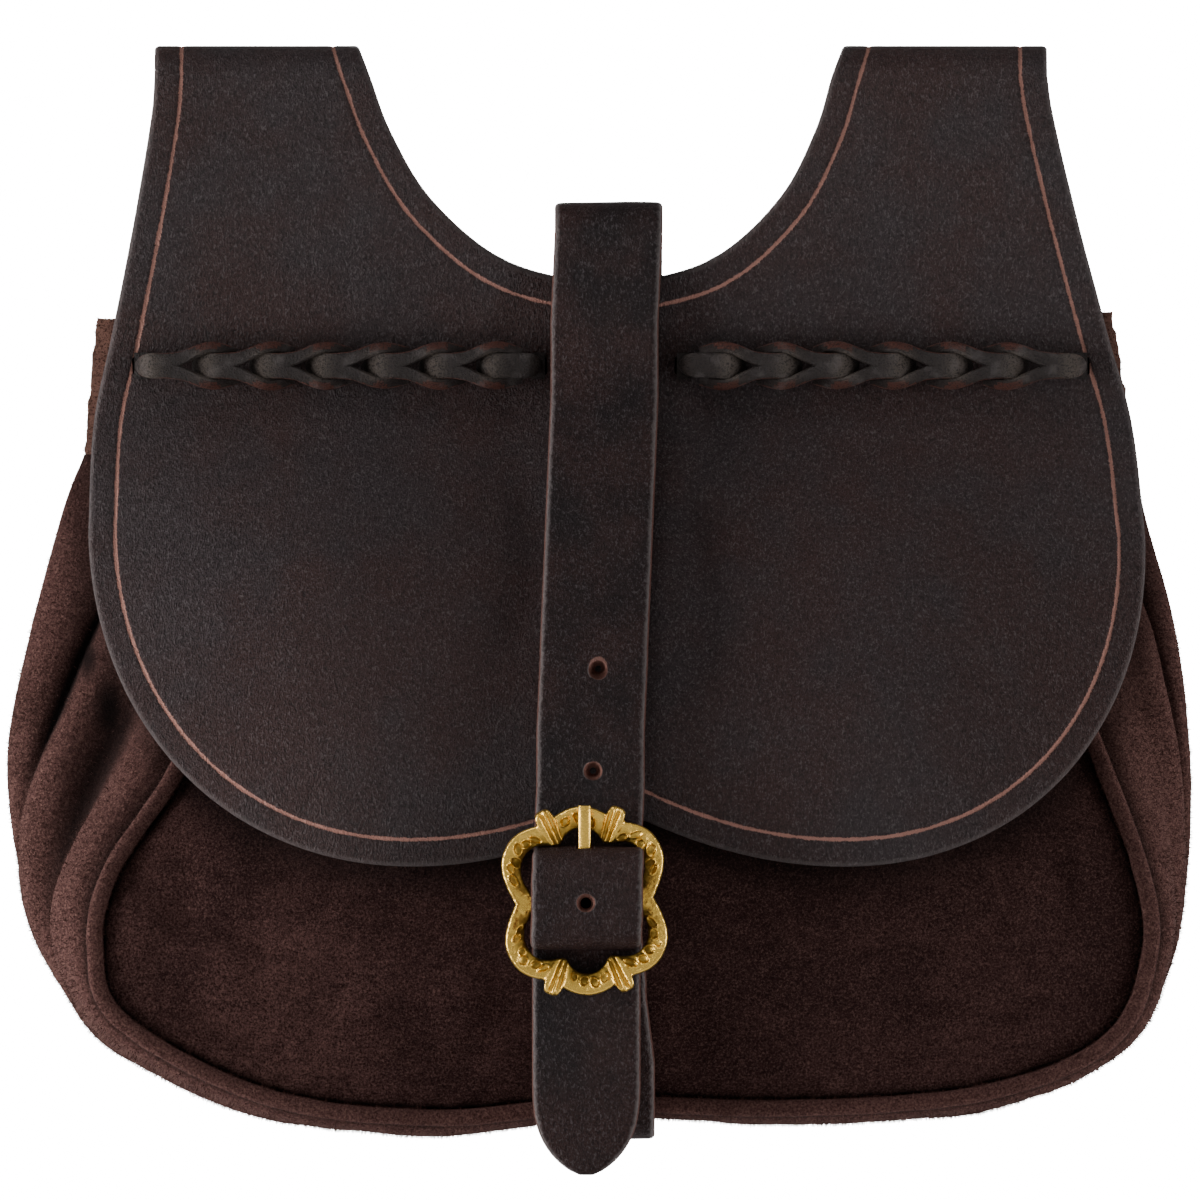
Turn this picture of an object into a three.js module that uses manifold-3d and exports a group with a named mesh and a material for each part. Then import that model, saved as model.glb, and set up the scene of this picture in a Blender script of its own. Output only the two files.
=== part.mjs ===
// Belt bag: a two-lobed leather flap whose arms fold into belt loops, laced over a gusseted suede pouch,
// with one strap round the whole bag and a cast six-lobed buckle in front.
// Millimetres, +Z up. The front faces -Y. The origin is where a belt bears: midway between the two belt
// loops, in the hollow of their folds. "depth" is the distance in front of the origin, so y = -depth.

import * as THREE from "three";
import { mergeVertices } from "three/addons/utils/BufferGeometryUtils.js";
import Module from "manifold-3d";

const wasm = await Module();
wasm.setup();

// Thickness of each stock, the room left between neighbouring pieces, and how near points are one point
const FLAP_THICK = 3;
const STRAP_THICK = 3;
const SUEDE_THICK = 1.6;
const THONG_THICK = 1.8;
const GAP = 0.35;
const WELD = 1e-3;

// Belt loops: inside radius of the fold, and where the laced foot and the end of the back leaf are
const FOLD_RADIUS = 4;
const FOLD_HEIGHT = -4;
const LACE_HEIGHT = -73;
const BACK_LEAF_END = -86;
const BACK_LEAF_INNER = 15;

// Flap: its lobes, the notch between them and the lean of its centre line
const NOTCH_HEIGHT = -178.4;
const LOBE_LOW = { half: 50.6, z: -191.4 };
const LOBE_WIDE = { half: 125.3, z: -113.1 };
const LOBE_SQUARENESS = 2.12;
const LOBE_TURN = 0.3;
const LOBE_FADE = 1.5;
const NECK_LOW = -54.7;
const NECK_SIDE = -50;
const NECK_SHARE = 0.62;
const NECK_SPREAD = 2.4;
const VALLEY = 0.12;
const FLAP_LEAN = 0.0345;
const FLAP_SHIFT = -1.6;

// Flap edges above the widest point: outer edge and neck edge, as half widths at each height
const FLAP_OUTER = [
  { z: -113.1, half: 125.3 },
  { z: -85.9, half: 123.0 },
  { z: -65.3, half: 118.0 },
  { z: -37.4, half: 111.6 },
  { z: -12.6, half: 106.7 },
  { z: -4.0, half: 105.8 },
];
const FLAP_NECK = [
  { along: 0.0, half: 0.0, z: -54.7 },
  { along: 0.3, half: 24.4, z: -48.1 },
  { along: 0.55, half: 40.9, z: -33.9 },
  { along: 0.78, half: 50.2, z: -17.5 },
  { along: 1.0, half: 54.8, z: -4.0 },
];

// Inner face of the front leaf: depth on the centre line, rise of each lobe beside it, fall to the side edge
const FLAP_DEPTH = [
  { z: -191.4, centre: 44.6, lobe: 3.0, side: 18.0 },
  { z: -180.0, centre: 44.6, lobe: 3.3, side: 18.0 },
  { z: -168.0, centre: 42.6, lobe: 3.5, side: 18.0 },
  { z: -155.0, centre: 38.5, lobe: 3.5, side: 17.0 },
  { z: -140.0, centre: 32.0, lobe: 3.5, side: 15.0 },
  { z: -125.0, centre: 25.2, lobe: 3.0, side: 12.0 },
  { z: -113.0, centre: 18.8, lobe: 2.5, side: 9.0 },
  { z: -102.0, centre: 12.8, lobe: 1.6, side: 5.5 },
  { z: -92.0, centre: 7.0, lobe: 0.8, side: 2.5 },
  { z: -82.0, centre: 2.0, lobe: 0.2, side: 0.4 },
  { z: -73.0, centre: 0.6, lobe: 0.0, side: 0.0 },
  { z: -66.0, centre: 0.8, lobe: 0.0, side: 0.0 },
  { z: -56.0, centre: 1.9, lobe: 0.0, side: 0.0 },
  { z: -40.0, centre: 4.0, lobe: 0.0, side: 0.0 },
  { z: -20.0, centre: 4.6, lobe: 0.0, side: 0.0 },
  { z: -4.0, centre: 4.0, lobe: 0.0, side: 0.0 },
];

// Inner face of the back leaf, measured behind the origin
const BACK_LEAF = [
  { z: -86.0, behind: 2.1 },
  { z: -73.0, behind: 2.1 },
  { z: -56.0, behind: 2.9 },
  { z: -40.0, behind: 4.2 },
  { z: -20.0, behind: 4.6 },
  { z: -4.0, behind: 4.0 },
];

// Pouch seams, a row for each station round the U from the left corner of the mouth to the right one.
// front: the piping's centre line. back: the edge of the back panel.
const SEAMS = [
  { frontX: -78, depth: 4.6, frontZ: -96, backX: -124, backZ: -94 },
  { frontX: -84, depth: 10.0, frontZ: -113, backX: -129.2, backZ: -108 },
  { frontX: -92.5, depth: 18.5, frontZ: -140, backX: -136.2, backZ: -137 },
  { frontX: -101.5, depth: 26.5, frontZ: -168, backX: -141.2, backZ: -168 },
  { frontX: -117, depth: 32, frontZ: -192, backX: -136.4, backZ: -200 },
  { frontX: -121, depth: 34, frontZ: -210, backX: -125.8, backZ: -220 },
  { frontX: -114.7, depth: 35.5, frontZ: -228, backX: -112.5, backZ: -234 },
  { frontX: -80, depth: 36, frontZ: -246, backX: -80, backZ: -247.5 },
  { frontX: -40, depth: 36, frontZ: -250.8, backX: -38, backZ: -250 },
  { frontX: -2, depth: 36, frontZ: -247.6, backX: 0, backZ: -248.5 },
  { frontX: 43.5, depth: 36, frontZ: -248.6, backX: 40, backZ: -249 },
  { frontX: 90, depth: 36, frontZ: -244.8, backX: 84, backZ: -246.5 },
  { frontX: 119.5, depth: 35.5, frontZ: -232, backX: 117, backZ: -234 },
  { frontX: 128.5, depth: 34, frontZ: -210, backX: 127.5, backZ: -217 },
  { frontX: 125.5, depth: 31.5, frontZ: -190, backX: 134.6, backZ: -197 },
  { frontX: 117, depth: 26, frontZ: -167, backX: 136.8, backZ: -165 },
  { frontX: 107, depth: 17.5, frontZ: -140, backX: 134.2, backZ: -136 },
  { frontX: 98, depth: 9.5, frontZ: -113, backX: 127.4, backZ: -108 },
  { frontX: 92, depth: 4.6, frontZ: -96, backX: 125, backZ: -94 },
];

// Folds of the gusset at the same stations. bulge: how far it stands out. rear and middle: depth of the
// sharp crease and of the soft valley folded into it, each at the stated share of its width.
const GUSSET_FOLDS = [
  { bulge: 0.5, rear: 0, rearAt: 0.48, middle: 0, middleAt: 0.33 },
  { bulge: 1.5, rear: 0.6, rearAt: 0.42, middle: 1, middleAt: 0.15 },
  { bulge: 4, rear: 4, rearAt: 0.49, middle: 3, middleAt: 0.2 },
  { bulge: 6, rear: 3.4, rearAt: 0.59, middle: 6, middleAt: 0.3 },
  { bulge: 7.5, rear: 0.6, rearAt: 0.85, middle: 4.8, middleAt: 0.38 },
  { bulge: 6, rear: 0, rearAt: 0.9, middle: 1.6, middleAt: 0.52 },
  { bulge: 4, rear: 0, rearAt: 0.7, middle: 0, middleAt: 0.4 },
  { bulge: 3.6, rear: 0, rearAt: 0.7, middle: 0, middleAt: 0.4 },
  { bulge: 3.6, rear: 0, rearAt: 0.7, middle: 0, middleAt: 0.4 },
  { bulge: 2, rear: 0, rearAt: 0.7, middle: 0, middleAt: 0.4 },
  { bulge: 2.6, rear: 0, rearAt: 0.7, middle: 0, middleAt: 0.4 },
  { bulge: 3, rear: 0, rearAt: 0.7, middle: 0, middleAt: 0.4 },
  { bulge: 3.5, rear: 0, rearAt: 0.7, middle: 0, middleAt: 0.4 },
  { bulge: 5, rear: 0, rearAt: 0.68, middle: 0.6, middleAt: 0.36 },
  { bulge: 5.5, rear: 1.4, rearAt: 0.66, middle: 1.2, middleAt: 0.35 },
  { bulge: 5, rear: 3, rearAt: 0.63, middle: 1.6, middleAt: 0.33 },
  { bulge: 3.5, rear: 3, rearAt: 0.6, middle: 1.4, middleAt: 0.33 },
  { bulge: 1.5, rear: 1.4, rearAt: 0.5, middle: 0.8, middleAt: 0.33 },
  { bulge: 0.5, rear: 0, rearAt: 0.48, middle: 0, middleAt: 0.33 },
];
// Top corners of the back panel
const BACK_TOP = { left: { x: -121.1, z: -61.8 }, right: { x: 119.9, z: -60.1 } };
const BACK_YOKE = 0.2;
const LEFT_CORNER = 6 / (SEAMS.length - 1);
const RIGHT_CORNER = 12 / (SEAMS.length - 1);
const PIPING_RADIUS = 2.1;
const BELLY = 15.3;
const MOUTH_BOW = 2.8;
const BELLY_POWER = 2.2;
const CREASE_WIDTH = 0.08;
const VALLEY_WIDTH = 0.11;
const FOLD_FADE = 7;
const GUSSET_TUCK = 0.8;

// Strap: its half width, its tip and its holes
const STRAP_HALF = 12.5;
const TIP = { length: 24, half: 1.9, run: 3.2, round: 0.8, steps: 9 };
const STRAP_STEP = { bend: 9, straight: 24 };
const HOLE_RADIUS = 2;
const PUNCH = { length: 12, sides: 12 };
const HOLES = [
  { x: -2.1, depth: 39.5, z: -144.6 },
  { x: -3.3, depth: 47.8, z: -168.7 },
  { x: -5.0, depth: 63.1, z: -199.9 },
];

// Buckle: where its middle is, its casting and its bar
const BUCKLE = { x: -5.3, z: -199.4, depth: 55.1, thick: 3.6 };
const BAR = { radius: 1.4, depth: 51.6, half: 14.6 };
const LUG = { wide: 2.4, tall: 4 };
const BUCKLE_TILT = 3;
const BUCKLE_RIBS = { height: 0.25, each: 15 };
const PRONG_HALF = 1.5;
const PRONG_EYE = { gap: 0.3, thick: 1.5 };

// Slots in the strap that the prong hangs in and comes out through
const PRONG_SLOTS = [
  { half: 2.1, deep: 11.5, tall: 10, depth: 53.1, z: -197.8 },
  { half: 2.1, deep: 4.4, tall: 8, depth: 56.1, z: -188.2 },
];

// Prong from its eye over the top of the frame: height above the bar, distance in front of the bar's middle,
// half width and half thickness
const PRONG = [
  { up: 0.4, ahead: 2.4, half: 1.5, thick: 0.7 },
  { up: 4, ahead: 3.1, half: 1.5, thick: 0.8 },
  { up: 9, ahead: 4.1, half: 1.5, thick: 0.85 },
  { up: 14.6, ahead: 5.3, half: 1.5, thick: 0.9 },
  { up: 20.6, ahead: 6.5, half: 1.5, thick: 0.9 },
  { up: 22.4, ahead: 6.3, half: 1.2, thick: 0.6 },
];

// Way of the middle of the strap: an eye round the bar, under the bag, up its back, over the neck, down the
// front and through the buckle to the tip. bend: radius of the turn there.
const STRAP_EYE = BAR.radius + GAP + STRAP_THICK / 2;
const STRAP_BEHIND = -(SUEDE_THICK + GAP + STRAP_THICK / 2);
const STRAP_WAY = [
  { x: BUCKLE.x, depth: BAR.depth + STRAP_EYE, z: -206, bend: 0 },
  { x: BUCKLE.x, depth: BAR.depth + STRAP_EYE, z: BUCKLE.z + STRAP_EYE, bend: STRAP_EYE },
  { x: BUCKLE.x, depth: BAR.depth - STRAP_EYE, z: BUCKLE.z + STRAP_EYE, bend: STRAP_EYE },
  { x: -4.5, depth: 48.2, z: -206, bend: 40 },
  { x: -3.5, depth: 46.9, z: -220, bend: 40 },
  { x: -1.5, depth: 43.6, z: -238, bend: 40 },
  { x: -1.5, depth: 40.3, z: -254.3, bend: 6 },
  { x: -1.5, depth: STRAP_BEHIND, z: -254.3, bend: 4 },
  { x: 0.4, depth: STRAP_BEHIND, z: -35.7, bend: 5 },
  { x: 0.4, depth: 7.8, z: -35.7, bend: 5 },
  { x: -0.6, depth: 6.6, z: -72, bend: 40 },
  { x: -3.1, depth: 38.8, z: -141, bend: 60 },
  { x: -3.9, depth: 49.4, z: -166, bend: 40 },
  { x: -4.5, depth: 51.1, z: -188.2, bend: 3 },
  { x: -4.5, depth: 58.2, z: -188.2, bend: 3.4 },
  { x: -4.7, depth: 59.6, z: -198.7, bend: 40 },
  { x: -4.9, depth: 58.2, z: -209.2, bend: 3.4 },
  { x: -4.9, depth: 51.4, z: -209.2, bend: 2.6 },
  { x: -4.9, depth: 50.9, z: -219, bend: 20 },
  { x: -4.9, depth: 48.6, z: -240, bend: 60 },
  { x: -4.9, depth: 45.6, z: -264, bend: 0 },
];

// One quarter of the buckle's outline from the waist to the top, as radii of its outer and inner edge.
// The knob is the short stretch between the corner lobe and the top lobe.
const BUCKLE_QUARTER = [
  { angle: 0, outer: 16.3, inner: 12.7 },
  { angle: 14, outer: 18.9, inner: 14.5 },
  { angle: 28, outer: 21.6, inner: 16.8 },
  { angle: 42, outer: 22.6, inner: 18.5 },
  { angle: 54, outer: 21.8, inner: 18.0 },
  { angle: 60, outer: 21.1, inner: 16.5 },
  { angle: 64, outer: 23.5, inner: 15.5 },
  { angle: 71, outer: 23.3, inner: 14.8 },
  { angle: 74, outer: 21.4, inner: 15.6 },
  { angle: 82, outer: 22.0, inner: 17.6 },
  { angle: 90, outer: 22.4, inner: 18.2 },
];

// Section of the buckle's band: distance in from its outer edge as a share of the band, with a step in
// millimetres, and height above the middle as a share of half the thickness, with a step
const BUCKLE_BAND = [
  { share: 1, step: -0.4, lift: -1, drop: 0, ribbed: 0 },
  { share: 1, step: 0, lift: 1, drop: 1.1, ribbed: 0 },
  { share: 0.45, step: 0, lift: 1, drop: 0.9, ribbed: 1 },
  { share: 0, step: 0.9, lift: 1, drop: 0, ribbed: 0 },
  { share: 0, step: 0.3, lift: 1, drop: 0, ribbed: 0 },
  { share: 0, step: 0, lift: -1, drop: -0.9, ribbed: 0 },
  { share: 0, step: 0.5, lift: -1, drop: 0, ribbed: 0 },
];

// Lacing: the slots at its two ends, its links, and how each leg of a link spreads and rises on the flap
const LACE = { inner: 17.2, outer: 111.4, links: 6, last: 1, half: 3, stand: 1.2 };
const LACE_SLOT = { half: 1.5, tall: 3.9, deep: 30 };
const LACE_STUB = { behind: 1, ahead: 0.5 };
const LACE_LEG = [
  { along: -0.1, across: 1.5, half: 1.52, top: 1.6 },
  { along: 0.2, across: 1.5, half: 1.52, top: 3.4 },
  { along: 0.6, across: 1.6, half: 1.6, top: 3.7 },
  { along: 0.95, across: 3.5, half: 1.3, top: 3.6 },
  { along: 1.35, across: 4.6, half: 1.2, top: 2.8 },
  { along: 1.7, across: 3.6, half: 1.2, top: 1.4 },
];
const LACE_LAST = [
  { along: -0.1, across: 0, half: 3, top: 1.6 },
  { along: 0.2, across: 0, half: 3, top: 3.4 },
  { along: 0.6, across: 0, half: 3, top: 2.9 },
  { along: 0.85, across: 0, half: 3, top: 2.6 },
  { along: 1.05, across: 0, half: 2.8, top: 1.0 },
];

// Facets of each piece
const FACETS = {
  flap: { across: 12, front: 15, fold: 5, back: 6 },
  frontPanel: { across: 16, up: 13 },
  gusset: { across: 12, along: 42 },
  backPanel: { across: 12, down: 10 },
  piping: { along: 44, sides: 6 },
  buckle: 72,
  bar: 12,
  eye: 10,
};

const place = (x, depth, z) => new THREE.Vector3(x, -depth, z);
const mix = THREE.MathUtils.lerp;

// Smooth interpolation of every column of a table at a value of one increasing or decreasing column
function tableCurve(rows, key) {
  const order = [...rows].sort((a, b) => a[key] - b[key]);
  const columns = Object.keys(order[0]).filter((name) => name !== key);
  const slope = (i, name) => {
    const a = order[Math.max(i - 1, 0)];
    const b = order[Math.min(i + 1, order.length - 1)];
    return (b[name] - a[name]) / (b[key] - a[key]);
  };
  return (value) => {
    const at = THREE.MathUtils.clamp(value, order[0][key], order.at(-1)[key]);
    const i = Math.max(0, Math.min(order.findIndex((row) => row[key] >= at) - 1, order.length - 2));
    const span = order[i + 1][key] - order[i][key];
    const t = (at - order[i][key]) / span;
    const result = { [key]: at };
    for (const name of columns) {
      const start = (1 + 2 * t) * (1 - t) ** 2 * order[i][name] + t * (1 - t) ** 2 * span * slope(i, name);
      const end = t * t * (3 - 2 * t) * order[i + 1][name] + t * t * (t - 1) * span * slope(i + 1, name);
      result[name] = start + end;
    }
    return result;
  };
}

// Points of a surface patch; the first direction times the second one points out of the piece
function patch(firstSteps, secondSteps, pointAt) {
  return Array.from({ length: firstSteps + 1 }, (_, i) =>
    Array.from({ length: secondSteps + 1 }, (_, j) => pointAt(i / firstSteps, j / secondSteps)),
  );
}

function toManifold(geometry) {
  const position = geometry.getAttribute("position");
  return new wasm.Manifold(
    new wasm.Mesh({
      numProp: 3,
      vertProperties: new Float32Array(position.array),
      triVerts: new Uint32Array(geometry.index.array),
    }),
  );
}

function fromManifold(solid) {
  const mesh = solid.getMesh();
  const geometry = new THREE.BufferGeometry();
  geometry.setAttribute("position", new THREE.BufferAttribute(new Float32Array(mesh.vertProperties), 3));
  geometry.setIndex(new THREE.BufferAttribute(new Uint32Array(mesh.triVerts), 1));
  return geometry;
}

// A library shape such as a cylinder, reduced to its welded points
function welded(shape) {
  const geometry = shape.clone();
  geometry.deleteAttribute("normal");
  geometry.deleteAttribute("uv");
  return mergeVertices(geometry, WELD);
}

function joined(shapes) {
  return fromManifold(shapes.map(toManifold).reduce((a, b) => a.add(b)));
}

function cut(shape, tools) {
  return fromManifold(tools.map(toManifold).reduce((a, b) => a.subtract(b), toManifold(shape)));
}

function box(wide, deep, tall, x, depth, z) {
  return welded(new THREE.BoxGeometry(wide, deep, tall).translate(x, -depth, z));
}

// A leather sheet: patches of its outer face, welded where they meet and thickened inwards
function sheet(patches, thickness) {
  const points = [];
  const triangles = [];
  for (const rows of patches) {
    const start = points.length;
    const width = rows[0].length;
    rows.forEach((row) => points.push(...row));
    for (let i = 0; i < rows.length - 1; i++) {
      for (let j = 0; j < width - 1; j++) {
        const a = start + i * width + j;
        triangles.push(a, a + width, a + width + 1, a, a + width + 1, a + 1);
      }
    }
  }
  const raw = new THREE.BufferGeometry().setFromPoints(points);
  raw.setIndex(triangles);
  const face = mergeVertices(raw, WELD);
  face.computeVertexNormals();
  const outer = face.getAttribute("position");
  const normal = face.getAttribute("normal");
  const count = outer.count;
  const solid = [];
  for (const layer of [0, thickness]) {
    for (let i = 0; i < count; i++) {
      solid.push(
        outer.getX(i) - layer * normal.getX(i),
        outer.getY(i) - layer * normal.getY(i),
        outer.getZ(i) - layer * normal.getZ(i),
      );
    }
  }
  const index = [...face.index.array];
  const used = new Set();
  for (let i = 0; i < index.length; i += 3) {
    for (let k = 0; k < 3; k++) {
      used.add(`${index[i + k]} ${index[i + ((k + 1) % 3)]}`);
    }
  }
  const faces = [...index];
  for (let i = 0; i < index.length; i += 3) {
    faces.push(index[i] + count, index[i + 2] + count, index[i + 1] + count);
  }
  for (const edge of used) {
    const [a, b] = edge.split(" ").map(Number);
    if (!used.has(`${b} ${a}`)) {
      faces.push(b, a, a + count, b, a + count, b + count);
    }
  }
  const geometry = new THREE.BufferGeometry();
  geometry.setAttribute("position", new THREE.BufferAttribute(new Float32Array(solid), 3));
  geometry.setIndex(faces);
  return geometry;
}

// A solid through rings of points that all have the same number of corners, capped or closed on itself
function loft(rings, closed = false) {
  const corners = rings[0].length;
  const faces = [];
  const last = closed ? rings.length : rings.length - 1;
  for (let i = 0; i < last; i++) {
    for (let k = 0; k < corners; k++) {
      const a = i * corners + k;
      const b = i * corners + ((k + 1) % corners);
      const c = ((i + 1) % rings.length) * corners + ((k + 1) % corners);
      const d = ((i + 1) % rings.length) * corners + k;
      faces.push(a, b, c, a, c, d);
    }
  }
  if (!closed) {
    const end = (rings.length - 1) * corners;
    for (let k = 1; k < corners - 1; k++) {
      faces.push(0, k + 1, k, end, end + k, end + k + 1);
    }
  }
  const geometry = new THREE.BufferGeometry().setFromPoints(rings.flat());
  geometry.setIndex(faces);
  return geometry;
}

// A path through way points, with a round bend at each of them but the ends; a bend takes up at most half of
// the way to the next point, and none of its facets turns by more than half a radian
function bentRun(points, step) {
  const mostReach = 0.49;
  const mostTurn = 0.5;
  const run = [];
  points.forEach((point, i) => {
    const here = new THREE.Vector2(-point.depth, point.z);
    if (i === 0 || i === points.length - 1) {
      run.push(place(point.x, point.depth, point.z));
      return;
    }
    const before = new THREE.Vector2(-points[i - 1].depth, points[i - 1].z).sub(here);
    const after = new THREE.Vector2(-points[i + 1].depth, points[i + 1].z).sub(here);
    const turn = Math.PI - before.angleTo(after);
    const room = mostReach * Math.min(before.length(), after.length());
    const reach = Math.min(point.bend * Math.tan(turn / 2), room);
    const radius = reach / Math.tan(turn / 2);
    const side = Math.sign(before.cross(after));
    const start = here.clone().addScaledVector(before.clone().normalize(), reach);
    const inward = before.clone().normalize().rotateAround(new THREE.Vector2(), (side * Math.PI) / 2);
    const centre = start.clone().addScaledVector(inward, radius);
    const pieces = Math.max(1, Math.ceil((radius * turn) / step), Math.ceil(turn / mostTurn));
    for (let k = 0; k <= pieces; k++) {
      const spot = start.clone().rotateAround(centre, (-side * turn * k) / pieces);
      run.push(new THREE.Vector3(point.x, spot.x, spot.y));
    }
  });
  return run;
}

// Flap
const outerHalf = tableCurve(FLAP_OUTER, "z");
const neckEdge = tableCurve(FLAP_NECK, "along");
const neckHalf = tableCurve(FLAP_NECK, "z");
const flapInside = tableCurve(FLAP_DEPTH, "z");
const backLeaf = tableCurve(BACK_LEAF, "z");
const leanAt = (z) => FLAP_SHIFT - FLAP_LEAN * z;

// Depth of the flap's inner face at a distance from its centre line
function flapDepth(half, z) {
  const row = flapInside(z);
  const across = Math.abs(half) / LOBE_WIDE.half;
  const beside = THREE.MathUtils.clamp((across - VALLEY) / (1 - VALLEY), 0, 1);
  return row.centre + row.lobe * Math.sin(Math.PI * beside) ** 2 - row.side * across ** 3;
}

// Lower edge of one lobe from the notch to the widest point
function lobeEdge(share) {
  if (share < LOBE_TURN) {
    const t = share / LOBE_TURN;
    const fall = NOTCH_HEIGHT - LOBE_LOW.z;
    return { half: LOBE_LOW.half * t, z: LOBE_LOW.z + fall * (1 - t) ** 2 };
  }
  const angle = ((share - LOBE_TURN) / (1 - LOBE_TURN)) * (Math.PI / 2);
  const power = 2 / LOBE_SQUARENESS;
  return {
    half: LOBE_LOW.half + (LOBE_WIDE.half - LOBE_LOW.half) * Math.sin(angle) ** power,
    z: LOBE_WIDE.z - (LOBE_WIDE.z - LOBE_LOW.z) * Math.max(0, Math.cos(angle)) ** power,
  };
}

// Flat cut of the front leaf: across from the centre line or neck to the outer edge, up from the lobe's edge
function flapCut(across, up) {
  const below = up < NECK_SHARE;
  const t = below ? up / NECK_SHARE : (up - NECK_SHARE) / (1 - NECK_SHARE);
  const inner = below ? { half: 0, z: mix(NOTCH_HEIGHT, NECK_LOW, t) } : neckEdge(t);
  const outerZ = below ? mix(LOBE_WIDE.z, NECK_SIDE, t) : mix(NECK_SIDE, FOLD_HEIGHT, t);
  const outer = { half: outerHalf(outerZ).half, z: outerZ };
  const low = lobeEdge(across);
  const notch = lobeEdge(0);
  const wide = lobeEdge(1);
  const fade = (1 - up) ** LOBE_FADE;
  const blend = (name) =>
    mix(inner[name], outer[name], across) + fade * (low[name] - mix(notch[name], wide[name], across));
  return { half: blend("half"), z: blend("z") };
}

function flapGeometry() {
  const { across, front: frontRows, fold: foldRows, back: backRows } = FACETS.flap;
  const patches = [];
  for (const side of [1, -1]) {
    const spot = (half, depth, z) => place(side * half + leanAt(z), depth, z);
    const front = (u, v) => {
      const { half, z } = flapCut(u, v);
      return spot(half, flapDepth(half, z) + FLAP_THICK, z);
    };
    const fold = (u, v) => {
      const radius = FOLD_RADIUS + FLAP_THICK;
      const turn = Math.PI * v;
      const half = flapCut(u, 1).half + NECK_SPREAD * Math.sin(turn) * (1 - u);
      return spot(half, radius * Math.cos(turn), FOLD_HEIGHT).setZ(FOLD_HEIGHT + radius * Math.sin(turn));
    };
    const back = (u, v) => {
      const z = mix(FOLD_HEIGHT, BACK_LEAF_END, v);
      const inner = z < NECK_LOW ? BACK_LEAF_INNER : Math.max(neckHalf(z).half, BACK_LEAF_INNER);
      return spot(mix(inner, outerHalf(z).half, u), -backLeaf(z).behind - FLAP_THICK, z);
    };
    for (const [rows, pointAt] of [[frontRows, front], [foldRows, fold], [backRows, back]]) {
      patches.push(patch(across, rows, (u, v) => pointAt(side > 0 ? u : 1 - u, v)));
    }
  }
  return cut(sheet(patches, FLAP_THICK), laceSlots());
}

// Pouch
const seamRows = SEAMS.map((row, i) => ({ ...row, ...GUSSET_FOLDS[i], station: i / (SEAMS.length - 1) }));
const seam = tableCurve(seamRows, "station");

// Points beside the piping, on the front panel or on the gusset, and the way out of the pouch there
function seamFrame(station) {
  const step = 1e-3;
  const here = seam(station);
  const before = seam(Math.max(0, station - step));
  const after = seam(Math.min(1, station + step));
  const run = new THREE.Vector2(after.frontX - before.frontX, after.frontZ - before.frontZ).normalize();
  const out = new THREE.Vector3(run.y, 0, -run.x);
  const room = PIPING_RADIUS + 2 * GAP;
  const cord = place(here.frontX, here.depth, here.frontZ);
  return { here, out, cord, inside: cord.clone().addScaledVector(out, -room), room };
}

function frontPanelGeometry() {
  const top = (u) => {
    const left = seamFrame(0).inside;
    const right = seamFrame(1).inside;
    return left.lerp(right, u).add(place(0, MOUTH_BOW * Math.sin(Math.PI * u), 0));
  };
  const leftEdge = (v) => seamFrame(LEFT_CORNER * v).inside;
  const rightEdge = (v) => seamFrame(1 - (1 - RIGHT_CORNER) * v).inside;
  const bottom = (u) => seamFrame(mix(LEFT_CORNER, RIGHT_CORNER, u)).inside;
  const point = (u, v) => {
    const sides = leftEdge(v).lerp(rightEdge(v), u);
    const ends = top(u).lerp(bottom(u), v);
    const corners = top(0).lerp(top(1), u).lerp(bottom(0).lerp(bottom(1), u), v);
    const belly = BELLY * Math.sin(Math.PI * v) * (1 - Math.abs(2 * u - 1) ** BELLY_POWER);
    return sides.add(ends).sub(corners).add(place(0, belly, 0));
  };
  const { across, up } = FACETS.frontPanel;
  return sheet([patch(across, up, (u, v) => point(u, 1 - v))], SUEDE_THICK);
}

// Gusset strip at a station, from the piping at 0 to the back panel at 1
function gussetPoint(share, station) {
  const { here, out, cord, room } = seamFrame(station);
  const tuck = GUSSET_TUCK * room;
  const front = cord.clone().addScaledVector(out, tuck).add(place(0, -tuck, 0));
  const slant = Math.hypot(here.backX - front.x, here.backZ - front.z);
  const lie = slant / Math.hypot(slant, here.depth);
  const back = place(here.backX, 2 * GAP + SUEDE_THICK * lie * lie, here.backZ);
  const chord = back.clone().sub(front);
  const flare = place(0, Math.max(0, chord.dot(out)), 0);
  const facing = out.clone().multiplyScalar(chord.y).add(flare).normalize();
  const fade = Math.min(1, FOLD_FADE * share, FOLD_FADE * (1 - share));
  const crease = here.rear * Math.exp(-Math.abs(share - here.rearAt) / CREASE_WIDTH);
  const valley = here.middle * Math.exp(-(((share - here.middleAt) / VALLEY_WIDTH) ** 2));
  const spread = mix(share, 1 - (1 - share) ** 2, share);
  const run = new THREE.Vector3(spread, share, spread);
  const stand = here.bulge * 4 * share * (1 - share);
  return front
    .add(chord.multiply(run))
    .addScaledVector(out, stand)
    .addScaledVector(facing, -fade * (crease + valley));
}

function gussetGeometry() {
  const { across, along } = FACETS.gusset;
  return sheet([patch(across, along, gussetPoint)], SUEDE_THICK);
}

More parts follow.
